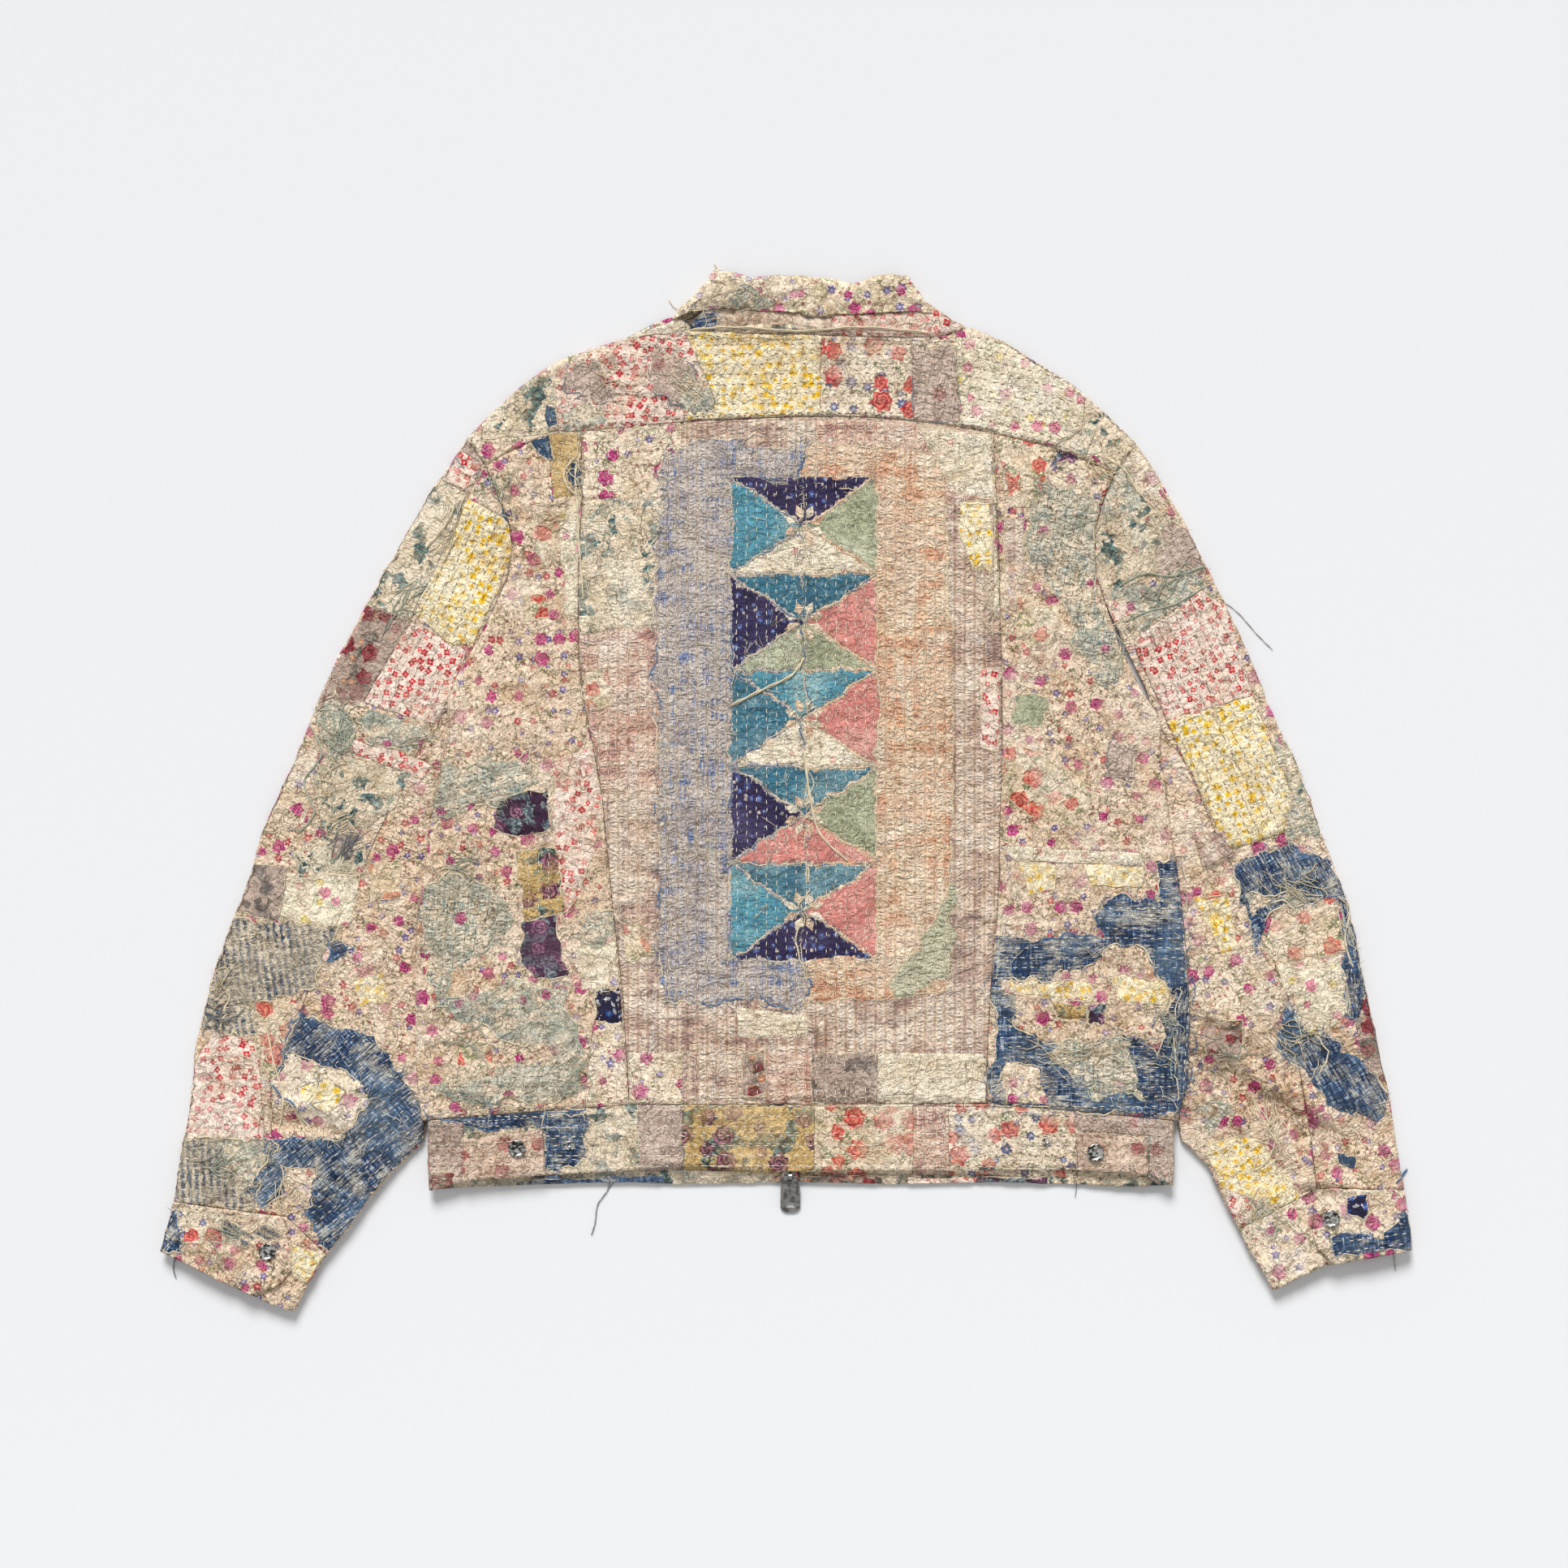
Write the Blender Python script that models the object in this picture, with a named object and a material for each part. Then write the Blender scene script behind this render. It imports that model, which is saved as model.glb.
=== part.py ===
"""Patched boro jacket with a zip front, laid flat on its front with the back facing up.

Metres, +Z up, +Y towards the collar, the origin under the middle of the jacket on the surface it lies on.
Every table below is in millimetres. A piece of cloth is a wall: its outer face runs through rows of
stations, and its inner face lies one wall thickness behind, along each station's own outward direction.
"""

import math

import bmesh
import bpy
from mathutils import Vector
from mathutils.bvhtree import BVHTree

MM = 0.001

# Driving dimensions, mm
BODY_WALL = 3.0  # three or four layers of quilted cloth
SLEEVE_WALL = 2.6
FALL_WALL = 2.4
STAND_WALL = 2.2
TAB_WALL = 2.2
PATCH_WALL = 0.9
SEAM = 0.4  # gap between neighbouring pieces
BODY_HEIGHT = 7.0  # both walls of the body with the air between them
SLEEVE_HEIGHT = 6.2
CUFF_HEIGHT = 6.4
FALL_HEIGHT = 10.6
STAND_HEIGHT = 5.2
EDGE_LIFT = 6.9  # the sides of the body ride up on the sleeves
LIFT_REACH = 90.0  # how far inwards that lift fades out
FOLD_STEPS = 4  # facets round a full fold
CENTRE_SHARES = (0.0, 0.1, 0.19, 0.3, 0.42, 0.565, 0.66, 0.76, 0.87, 0.96, 1.0)  # middle panel's columns
FRONT_ROWS = (1, 2, 3, 4, 5, 6, 7, 8, 10, 12, 14, 16, 18, 19)  # rows of the side tables that a front uses
ZIP_X = 3.0
ZIP_HALF_GAP = 7.0
CENTRE_SHIFT = (0.0, -0.488)  # brings the middle of the outline to the origin
PULL_PIVOT = (3.0, -304.6, 5.8)
PULL_REST_TILT = 9.2  # degrees that the tab slopes down to the surface

# Side panels of the back: the outer edge, the seam to the middle panel, and how far the edge is lifted.
# The first rows run down the armhole, and the last of them is the armpit.
SIDE_COLUMNS = ("edge_x", "edge_y", "seam_x", "seam_y", "lift")
LEFT_SIDE = (
    (-237, 255, -162, 283, 0.0),
    (-229, 235, -161, 255, 0.0),
    (-219, 212, -161, 225, 0.0),
    (-216, 191, -163, 199, 0.0),
    (-220, 167, -164, 172, 0.0),
    (-231, 143, -164, 144, 0.0),
    (-249, 106, -164, 107, 0.0),
    (-257, 78, -161, 78, 3.0),
    (-264, 50, -156, 51, EDGE_LIFT),
    (-271, 21, -150, 23, EDGE_LIFT),
    (-278, -11, -145, -8, EDGE_LIFT),
    (-282, -43, -142, -39, EDGE_LIFT),
    (-287, -75, -139, -71, EDGE_LIFT),
    (-291, -104, -136, -100, EDGE_LIFT),
    (-292, -135, -132, -132, EDGE_LIFT),
    (-292, -167, -129, -163, EDGE_LIFT),
    (-292, -199, -127, -194, EDGE_LIFT),
    (-291, -228, -125, -222, EDGE_LIFT),
    (-287, -260, -124, -248, EDGE_LIFT),
)
RIGHT_SIDE = (
    (259, 249, 163, 281, 0.0),
    (251, 231, 164, 253, 0.0),
    (244, 208, 166, 225, 0.0),
    (243, 188, 167, 199, 0.0),
    (245, 167, 168, 175, 0.0),
    (251, 148, 168, 148, 0.0),
    (262, 117, 169, 117, 2.0),
    (275, 87, 170, 87, 4.5),
    (287, 56, 170, 56, EDGE_LIFT),
    (293, 28, 170, 27, EDGE_LIFT),
    (299, -3, 169, -4, EDGE_LIFT),
    (303, -33, 168, -35, EDGE_LIFT),
    (308, -65, 168, -67, EDGE_LIFT),
    (312, -97, 166, -99, EDGE_LIFT),
    (315, -129, 163, -130, EDGE_LIFT),
    (317, -161, 161, -161, EDGE_LIFT),
    (317, -193, 159, -192, EDGE_LIFT),
    (316, -225, 158, -222, EDGE_LIFT),
    (308, -260, 158, -247, EDGE_LIFT),
)
LEFT_ARMPIT = 6
RIGHT_ARMPIT = 5

# Waistband ends: outer edge x, y and lift, at its top and its hem
LEFT_WAIST_END = ((-282, -262, EDGE_LIFT), (-282, -315, 5.0))
RIGHT_WAIST_END = ((305, -262, EDGE_LIFT), (305, -311, 5.0))

# Sleeves, a row from shoulder to cuff: outer fold, lengthwise back seam, inner fold under the body,
# total height and lift. The rows down to the armpit have no inner fold: there the seam is the armhole.
SLEEVE_COLUMNS = ("outer_x", "outer_y", "seam_x", "seam_y", "inner_x", "inner_y", "height", "lift")
LEFT_SLEEVE = (
    (-252, 277, -244, 265, None, None, BODY_HEIGHT, 0.0),
    (-262, 263, -237, 255, None, None, BODY_HEIGHT, 0.0),
    (-271, 249, -229, 235, None, None, BODY_HEIGHT, 0.0),
    (-281, 234, -219, 212, None, None, BODY_HEIGHT, 0.0),
    (-293, 215, -216, 191, None, None, BODY_HEIGHT, 0.0),
    (-311, 183, -220, 167, None, None, BODY_HEIGHT, 0.0),
    (-329, 150, -231, 143, None, None, BODY_HEIGHT, 0.0),
    (-348, 116, -249, 106, None, None, BODY_HEIGHT, 0.0),
    (-364, 82, -264, 82, None, None, 6.6, 0.0),
    (-377, 52, -276, 60, -264, 57, SLEEVE_HEIGHT, 0.0),
    (-388, 25, -293, 26, -266, 20, SLEEVE_HEIGHT, 0.0),
    (-397, 4, -310, -9, -270, -17, SLEEVE_HEIGHT, 0.0),
    (-410, -23, -323, -37, -274, -46, SLEEVE_HEIGHT, 0.0),
    (-428, -80, -351, -98, -282, -107, SLEEVE_HEIGHT, 0.0),
    (-441, -112, -365, -129, -284, -139, SLEEVE_HEIGHT, 0.0),
    (-460, -174, -388, -186, -284, -199, SLEEVE_HEIGHT, 0.0),
    (-467, -206, -399, -212, -283, -225, SLEEVE_HEIGHT, 0.0),
    (-468, -231, -406, -235, -282, -249, SLEEVE_HEIGHT, 0.0),
    (-474, -265, -406, -270, -286, -276, SLEEVE_HEIGHT, 0.3),
    (-478, -292, -403, -299, -313, -304, SLEEVE_HEIGHT, 1.8),
    (-483, -324, -394, -336, -362, -366, SLEEVE_HEIGHT, 3.5),
)
RIGHT_SLEEVE = (
    (276, 273, 267.5, 261, None, None, BODY_HEIGHT, 0.0),
    (285, 261, 259, 249, None, None, BODY_HEIGHT, 0.0),
    (295, 244, 251, 231, None, None, BODY_HEIGHT, 0.0),
    (306, 226, 244, 208, None, None, BODY_HEIGHT, 0.0),
    (318, 205, 243, 188, None, None, BODY_HEIGHT, 0.0),
    (331, 177, 245, 167, None, None, BODY_HEIGHT, 0.0),
    (346, 148, 251, 148, None, None, BODY_HEIGHT, 0.0),
    (361, 117, 264, 119, None, None, 6.8, 0.0),
    (373, 87, 280, 87, None, None, 6.5, 0.0),
    (386, 55, 299, 52, 291, 47, SLEEVE_HEIGHT, 0.0),
    (401, 27, 314, 23, 291, 16, SLEEVE_HEIGHT, 0.0),
    (411, -1, 327, -6, 292, -17, SLEEVE_HEIGHT, 0.0),
    (421, -28, 339, -35, 297, -48, SLEEVE_HEIGHT, 0.0),
    (442, -87, 366, -89, 304, -107, SLEEVE_HEIGHT, 0.0),
    (449, -118, 380, -116, 307, -135, SLEEVE_HEIGHT, 0.0),
    (461, -177, 395, -177, 310, -193, SLEEVE_HEIGHT, 0.0),
    (468, -206, 402, -207, 308, -220, SLEEVE_HEIGHT, 0.0),
    (475, -235, 407, -236, 306, -246, SLEEVE_HEIGHT, 0.0),
    (480, -265, 412, -267, 311, -276, SLEEVE_HEIGHT, 0.3),
    (483, -289, 415, -291, 332, -296, SLEEVE_HEIGHT, 1.8),
    (487, -315, 418, -314, 356, -346, SLEEVE_HEIGHT, 3.5),
)
FIRST_UNDER_ROW = 9  # the under sleeve starts this many rows down

# Lines across the body, x and y
YOKE_SEAM = (
    (-237, 255), (-209, 274), (-180, 282), (-162, 283), (-123, 286), (-76, 291), (-25, 293), (26, 295),
    (63, 294), (103, 291), (141, 286), (163, 281), (210, 270), (237, 260), (259, 249),
)
WAIST_SEAM = ((-287, -260), (-124, -248), (158, -247), (308, -260))
FRONT_WAIST = ((-287, -260), (-4, -246), (10, -246), (308, -260))
WAIST_COLUMNS = (-256, -224, -192, -158, -124, -82, -40, -10, 20, 60, 97, 128, 158, 190, 228, 256, 284)
BACK_HEM = (
    (-282, -315), (-256, -309), (-192, -304), (-132, -300), (-76, -295), (-20, -299), (20, -301),
    (84, -300), (152, -299), (228, -299), (284, -303), (305, -311),
)
FRONT_HEM = (
    (-282, -315), (-256, -313), (-192, -311), (-132, -309), (-76, -311), (-20, -309), (20, -309),
    (84, -311), (152, -309), (228, -311), (284, -312), (305, -311),
)

# Upper edge of the yoke, one point for each of its columns. Between NECK_LEFT and NECK_RIGHT it is the
# neck seam, and outside them it is the fold over the shoulder.
YOKE_TOP = (
    (-252, 277), (-236, 294), (-210, 318), (-193, 331), (-174, 341), (-143, 351), (-108, 363),
    (-81, 361), (-36, 360), (22, 358.6), (55, 357.8), (92, 357), (132, 356),
    (151, 362), (173, 353), (198, 337), (226, 320), (255, 294), (276, 273),
)
NECK_LEFT, NECK_RIGHT = 7, 12
LEFT_NECK = ((-81, 361), (-60, 346), (-35, 336), (-4, 332))  # neck of each front, down to the zip
RIGHT_NECK = ((132, 356), (92, 344), (48, 336), (10, 332))

# Collar, one row for each column round the ring: the rolled upper edge and the lower edge, x and y.
# Front columns lie underneath, and the first and last back columns are where the collar folds round.
FALL_BACK = (
    (-57, 408, -92, 370), (-45, 410, -76, 377), (-28, 405, -47, 379), (-9, 407, -19, 377),
    (12, 405, 10, 377), (33, 402, 39, 375), (52, 398, 63, 375), (68, 405, 86, 376), (83, 407, 105, 376),
    (97, 405, 120, 375),
)
FALL_LEFT_LEAF = ((-9, 392, -22, 369), (-29, 397, -47, 369), (-48, 402, -70, 369))
FALL_RIGHT_LEAF = ((85, 400, 98, 370), (63, 395, 76, 369), (28, 391, 42, 369))
STAND_BACK = (
    (-51, 397, -81, 361), (-42, 400, -65, 360.6), (-28, 398, -41, 360.1), (-9, 400, -14, 359.4),
    (12, 398, 14, 358.8), (33, 395, 42, 358.1), (52, 391, 70, 357.5), (68, 397, 97, 356.8),
    (80, 400, 118, 356.3), (92, 398, 132, 356),
)
STAND_LEFT_LEAF = ((-4, 384, -4, 332), (-26, 388, -35, 336), (-42, 390, -60, 346))
STAND_RIGHT_LEAF = ((80, 391, 92, 344), (60, 387, 48, 336), (24, 383, 10, 332))
# Rows of the stand: share of its back, y of its front ends between their top and foot, lowest and highest z
STAND_ROWS = ((0.0, None, 2.8, 8.0), (0.8, 370, 2.8, 8.0), (0.93, 359, 1.0, 7.8), (1.0, None, 0.0, 7.0))

# Cuffs: upper edge and hem from the outer fold to the inner fold, and how far the snapped end reaches
LEFT_CUFF = ((-483, -324, -493, -363), (-394, -336, -407, -404), (-362, -366, -388, -410))
LEFT_CUFF_SEAM = 0.72  # share of the width at which the upper edge turns
LEFT_CUFF_END = (0.70, 0.80, 0.84, 0.78, 0.60)
RIGHT_CUFF = ((487, -315, 493, -362), (418, -314, 422, -375), (356, -346, 383, -394))
RIGHT_CUFF_SEAM = 0.46
RIGHT_CUFF_END = (0.42, 0.50, 0.53, 0.50, 0.40)
CUFF_LIFT = (3.5, 5.0)  # at the upper edge and at the hem

# Folds that stand up from the top of the body or a sleeve: start and end, half width and rise
FOLD_COLUMNS = ("x0", "y0", "x1", "y1", "half_width", "rise")
BODY_FOLDS = (
    (-236, 118, -180, 128, 24, 1.8),
    (-212, 60, -226, -60, 30, 1.2),
    (-222, -110, -214, -205, 30, 1.5),
    (-84, 190, -60, -120, 46, 1.0),
    (84, 210, 112, -60, 46, 1.2),
    (206, 150, 250, 104, 24, 1.8),
    (226, 70, 238, -60, 30, 1.2),
    (246, -120, 228, -215, 30, 1.6),
    (-96, -296, 44, -302, 32, 2.0),
    (-170, -302, -240, -308, 26, 1.2),
    (120, -298, 200, -300, 26, 1.2),
)
SLEEVE_FOLDS = (
    (-300, 150, -262, 120, 20, 1.4),
    (-345, 30, -372, -40, 26, 1.2),
    (-352, -170, -318, -222, 24, 2.0),
    (-436, -214, -366, -250, 22, 2.2),
    (-372, -300, -340, -268, 20, 1.8),
    (312, 160, 276, 132, 20, 1.4),
    (362, 20, 392, -60, 26, 1.2),
    (348, -196, 420, -232, 22, 2.2),
    (362, -262, 440, -292, 20, 2.4),
    (440, -120, 420, -190, 24, 1.4),
)

# Patches large enough to be pieces of their own: the panel that each lies on, and its rows and columns
PATCHES = (
    ("patch_yellow_yoke", "back_yoke", 2, 6, 7, 9, "yellow"),
    ("patch_red_yoke", "back_yoke", 2, 6, 4, 6, "red_print"),
    ("patch_blue_half", "back_centre", 0, 16, 2, 5, "periwinkle"),
    ("patch_peach_half", "back_centre", 0, 16, 5, 9, "peach"),
    ("patch_sage_left_side", "back_side_left", 12, 14, 2, 4, "sage"),
    ("patch_denim_right_side", "back_side_right", 12, 17, 0, 4, "denim"),
    ("patch_yellow_left_sleeve", "sleeve_upper_left", 2, 6, 0, 2, "yellow"),
    ("patch_red_left_sleeve", "sleeve_upper_left", 7, 9, 0, 3, "red_print"),
    ("patch_stripe_left_sleeve", "sleeve_upper_left", 13, 15, 0, 3, "stripe"),
    ("patch_red_left_forearm", "sleeve_upper_left", 15, 18, 0, 3, "red_print"),
    ("patch_denim_left_forearm", "sleeve_under_left", 6, 10, 0, 1, "denim"),
    ("patch_red_right_sleeve", "sleeve_upper_right", 6, 9, 0, 2, "red_print"),
    ("patch_yellow_right_sleeve", "sleeve_upper_right", 9, 12, 0, 2, "yellow"),
    ("patch_denim_right_sleeve", "sleeve_upper_right", 12, 13, 0, 3, "denim"),
    ("patch_denim_right_forearm", "sleeve_upper_right", 15, 17, 0, 2, "denim"),
)

# Waist tabs: corners from the stitched end round to the snapped end, snap centres and spare snaps
LEFT_TAB = ((-256, -275), (-192, -267), (-190, -303), (-254, -307))
LEFT_TAB_SNAP, LEFT_SPARE_SNAP = (-212, -282), (-171, -279)
RIGHT_TAB = ((228, -269), (283, -273), (284, -302), (228, -299))
RIGHT_TAB_SNAP, RIGHT_SPARE_SNAP = (243, -285), (205, -276)
LEFT_CUFF_SNAP, RIGHT_CUFF_SNAP = (-408, -363), (428, -337)
SNAP_GAP = 0.5
CAP_RADIUS = 7.0
SPARE_RADIUS = 4.8
TURNED_SIDES = 20

# Zip slider and pull tab
PLATE_WIDTH, PLATE_THICK = 8.4, 1.1
SLIDER_BACK, SLIDER_NOSE = -295.6, -307.8  # y of its two ends
SLIDER_BOTTOM = 0.4
BAIL_INNER, BAIL_OUTER, BAIL_WIDTH = 1.8, 3.1, 2.6
PULL_THICK = 1.6
PULL_OUTLINE = ((-0.8, 5.0), (4.5, 5.6), (9.0, 7.6), (25.0, 7.8), (27.8, 5.6), (29.0, 3.0))
PULL_SLOT = (0.8, 3.5, 4.4)  # from, to, width
PULL_EYE = (20.4, 25.6, 9.4)

COLOURS = {
    "beige": (0.78, 0.65, 0.47),
    "cream": (0.83, 0.70, 0.51),
    "mauve": (0.42, 0.30, 0.26),
    "yellow": (0.86, 0.68, 0.20),
    "red_print": (0.72, 0.36, 0.28),
    "periwinkle": (0.24, 0.27, 0.48),
    "peach": (0.80, 0.46, 0.31),
    "sage": (0.42, 0.45, 0.35),
    "denim": (0.06, 0.12, 0.24),
    "stripe": (0.36, 0.38, 0.38),
    "tape": (0.40, 0.33, 0.22),
    "metal": (0.42, 0.42, 0.42),
}


def table_rows(columns, rows):
    """Each row of a table as a dictionary by column name."""
    return [dict(zip(columns, row)) for row in rows]


def clear_scene():
    for thing in list(bpy.data.objects):
        bpy.data.objects.remove(thing, do_unlink=True)


def material(name):
    """A Principled material, made once for each colour name."""
    if name in bpy.data.materials:
        return bpy.data.materials[name]
    made = bpy.data.materials.new(name)
    made.use_nodes = True
    shader = made.node_tree.nodes["Principled BSDF"]
    shader.inputs["Base Color"].default_value = (*COLOURS[name], 1.0)
    shader.inputs["Roughness"].default_value = 0.38 if name == "metal" else 0.9
    shader.inputs["Metallic"].default_value = 1.0 if name == "metal" else 0.0
    return made


def new_object(name, mesh, colour):
    made = bpy.data.objects.new(name, mesh)
    bpy.context.scene.collection.objects.link(made)
    mesh.materials.append(material(colour))
    return made


def mesh_of(name, points, faces, shift=CENTRE_SHIFT):
    """A closed mesh from points in mm, with its faces turned outwards."""
    mesh = bpy.data.meshes.new(name)
    mesh.from_pydata([((x + shift[0]) * MM, (y + shift[1]) * MM, z * MM) for x, y, z in points], [], faces)
    edit = bmesh.new()
    edit.from_mesh(mesh)
    bmesh.ops.recalc_face_normals(edit, faces=edit.faces)
    edit.to_mesh(mesh)
    edit.free()
    return mesh


def height_along(line, x):
    """y at x on a line of x, y points that runs from left to right."""
    for (x0, y0), (x1, y1) in zip(line, line[1:]):
        if x <= x1:
            break
    share = min(max((x - x0) / (x1 - x0), 0.0), 1.0)
    return y0 + (y1 - y0) * share


def point_along(line, share):
    """The point at this share of the length of a line."""
    spots = [Vector(p) for p in line]
    lengths = [(b - a).length for a, b in zip(spots, spots[1:])]
    left = share * sum(lengths)
    for a, b, length in zip(spots, spots[1:], lengths):
        if left <= length:
            return a.lerp(b, left / length)
        left -= length
    return spots[-1]


def edge_state(rows, end, y):
    """x and lift of one side's outer edge at y."""
    marks = [(row["edge_x"], row["edge_y"], row["lift"]) for row in rows] + list(end)
    if y >= marks[0][1]:
        return marks[0][0], marks[0][2]
    for (x0, y0, lift0), (x1, y1, lift1) in zip(marks, marks[1:]):
        if y >= y1:
            share = (y0 - y) / (y0 - y1)
            return x0 + (x1 - x0) * share, lift0 + (lift1 - lift0) * share
    return marks[-1][0], marks[-1][2]


def body_lift(x, y):
    """How far the body is off the surface: most at its sides, which lie on the sleeves."""
    total = 0.0
    for rows, end in ((left_rows, LEFT_WAIST_END), (right_rows, RIGHT_WAIST_END)):
        edge, lift = edge_state(rows, end, y)
        inside = max(abs(x - edge) - BODY_HEIGHT / 2, 0.0)
        total += lift * max(1 - inside / LIFT_REACH, 0.0)
    return total


def rise_at(folds, x, y):
    """Height of the folds at x, y: each is a soft ridge along its own line."""
    spot, total = Vector((x, y)), 0.0
    for fold in table_rows(FOLD_COLUMNS, folds):
        start, end = Vector((fold["x0"], fold["y0"])), Vector((fold["x1"], fold["y1"]))
        run = end - start
        share = min(max((spot - start).dot(run) / run.length_squared, 0.0), 1.0)
        away = (spot - start - run * share).length / fold["half_width"]
        total += fold["rise"] * max(1 - away * away, 0.0) ** 2
    return total


def station(xy, z, outward):
    """A point of the outer face with its outward direction."""
    return Vector((xy[0], xy[1], z)), Vector(outward)


def half_fold(radius):
    """Distance from the edge and angle of each station of a quarter fold, from the edge inwards."""
    last = math.acos(SEAM / 2 / radius)
    angles = [last, last / 2, 0.0]
    return [(radius * (1 - math.sin(a)), a) for a in angles]


def full_fold(edge, inward, low, high):
    """Stations round a whole fold, from its top to its bottom."""
    radius = (high - low) / 2
    core = Vector(edge) + Vector(inward) * radius
    found = []
    for k in range(FOLD_STEPS + 1):
        a = math.pi * k / FOLD_STEPS
        out = -Vector(inward) * math.sin(a)
        found.append(station(core + out * radius, low + radius * (1 + math.cos(a)), (*out, math.cos(a))))
    return found


def trimmed(rows, sides):
    """Pulls the named sides of a panel back by half a seam gap, along its own rows or columns."""
    half = SEAM / 2
    if "first_row" in sides:
        rows[0] = [pulled(a, b, half) for a, b in zip(rows[0], rows[1])]
    if "last_row" in sides:
        rows[-1] = [pulled(a, b, half) for a, b in zip(rows[-1], rows[-2])]
    for row in rows:
        if "first_column" in sides:
            row[0] = pulled(row[0], row[1], half)
        if "last_column" in sides:
            row[-1] = pulled(row[-1], row[-2], half)
    return rows


def pulled(end, inner, by):
    way = inner[0] - end[0]
    way.z = 0.0
    return end[0] + way.normalized() * by, end[1]


def wall(name, rows, thick, colour):
    """One piece of cloth as a closed wall behind rows of stations."""
    count = len(rows[0])
    outer = [spot for row in rows for spot, out in row]
    inner = [spot - out * thick for row in rows for spot, out in row]
    under = len(outer)
    faces = []
    for i in range(len(rows) - 1):
        for j in range(count - 1):
            a = i * count + j
            for face in ((a, a + 1, a + count + 1), (a, a + count + 1, a + count)):
                faces.append(face)
                faces.append(tuple(under + k for k in reversed(face)))
    rim = list(range(count))
    rim += [i * count + count - 1 for i in range(1, len(rows))]
    rim += [(len(rows) - 1) * count + j for j in range(count - 2, -1, -1)]
    rim += [i * count for i in range(len(rows) - 2, 0, -1)]
    for a, b in zip(rim, rim[1:] + rim[:1]):
        faces.append((b, a, under + a, under + b))
    panels[name] = rows
    return new_object(name, mesh_of(name, outer + inner, faces), colour)


def body_top(x, y):
    return body_lift(x, y) + BODY_HEIGHT + rise_at(BODY_FOLDS, x, y)


def side_panel(name, rows, armpit):
    """A side panel of the back, from its seam to the folded side edge or the armhole."""
    radius = BODY_HEIGHT / 2
    made = []
    for i, row in enumerate(rows):
        edge, seam = Vector((row["edge_x"], row["edge_y"])), Vector((row["seam_x"], row["seam_y"]))
        width = (seam - edge).length
        inward = (seam - edge) / width
        stops = half_fold(radius) + [(d, 0) for d in (14, 48, (48 + width) / 2, width)]
        line = []
        for distance, angle in reversed(stops):
            spot = edge + inward * distance
            if i == 0:
                spot.y = height_along(YOKE_SEAM, spot.x)
            angle = angle if i > armpit else 0.0
            top = body_top(*spot) - radius * (1 - math.cos(angle))
            out = -inward * math.sin(angle)
            line.append(station(spot, top, (*out, math.cos(angle))))
        made.append(line)
    top_row = list(reversed(made[0]))
    yoke_edge[name] = [Vector(spot[:2]) for spot, out in top_row[:1] + top_row[3:]]
    for line in made[: armpit + 1]:
        line[-1] = pulled(line[-1], line[-2], SEAM / 2)
    return wall(name, trimmed(made, ("first_row", "last_row", "first_column")), BODY_WALL, "beige")


def centre_panel(name):
    """The middle panel of the back, between its two seams, the yoke and the waistband."""
    last = len(left_rows) - 1
    seams = [(Vector((a["seam_x"], a["seam_y"])), Vector((b["seam_x"], b["seam_y"])))
             for a, b in zip(left_rows, right_rows)]
    made = []
    for i, (left, right) in enumerate(seams):
        line = []
        for share in CENTRE_SHARES:
            spot, above = left.lerp(right, share), seams[0][0].lerp(seams[0][1], share)
            spot.y += (height_along(YOKE_SEAM, above.x) - above.y) * (1 - i / last) ** 2
            line.append(station(spot, body_top(*spot), (0, 0, 1)))
        made.append(line)
    yoke_edge[name] = [Vector(spot[:2]) for spot, out in made[0]]
    sides = ("first_row", "last_row", "first_column", "last_column")
    return wall(name, trimmed(made, sides), BODY_WALL, "beige")


def yoke(name):
    """The yoke, whose lower edge takes its points from the three panels under it."""
    radius = BODY_HEIGHT / 2
    lower = yoke_edge["back_side_left"] + yoke_edge["back_centre"][1:-1]
    lower += reversed(yoke_edge["back_side_right"])
    columns = []
    for k, (top, low) in enumerate(zip(YOKE_TOP, lower)):
        top = Vector(top)
        length = (low - top).length
        down = (low - top) / length
        rolled = not NECK_LEFT <= k <= NECK_RIGHT
        line = []
        for distance, angle in half_fold(radius) + [(length * share, 0) for share in (0.25, 0.5, 0.75, 1.0)]:
            spot = top + down * distance
            angle = angle if rolled else 0.0
            out = -down * math.sin(angle)
            high = body_top(*spot) - radius * (1 - math.cos(angle))
            line.append(station(spot, high, (*out, math.cos(angle))))
        if not rolled:
            line[0] = pulled(line[0], line[1], SEAM / 2)
        columns.append(line)
    made = [list(row) for row in zip(*columns)]
    return wall(name, trimmed(made, ("last_row", "first_column", "last_column")), BODY_WALL, "cream")


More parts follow.
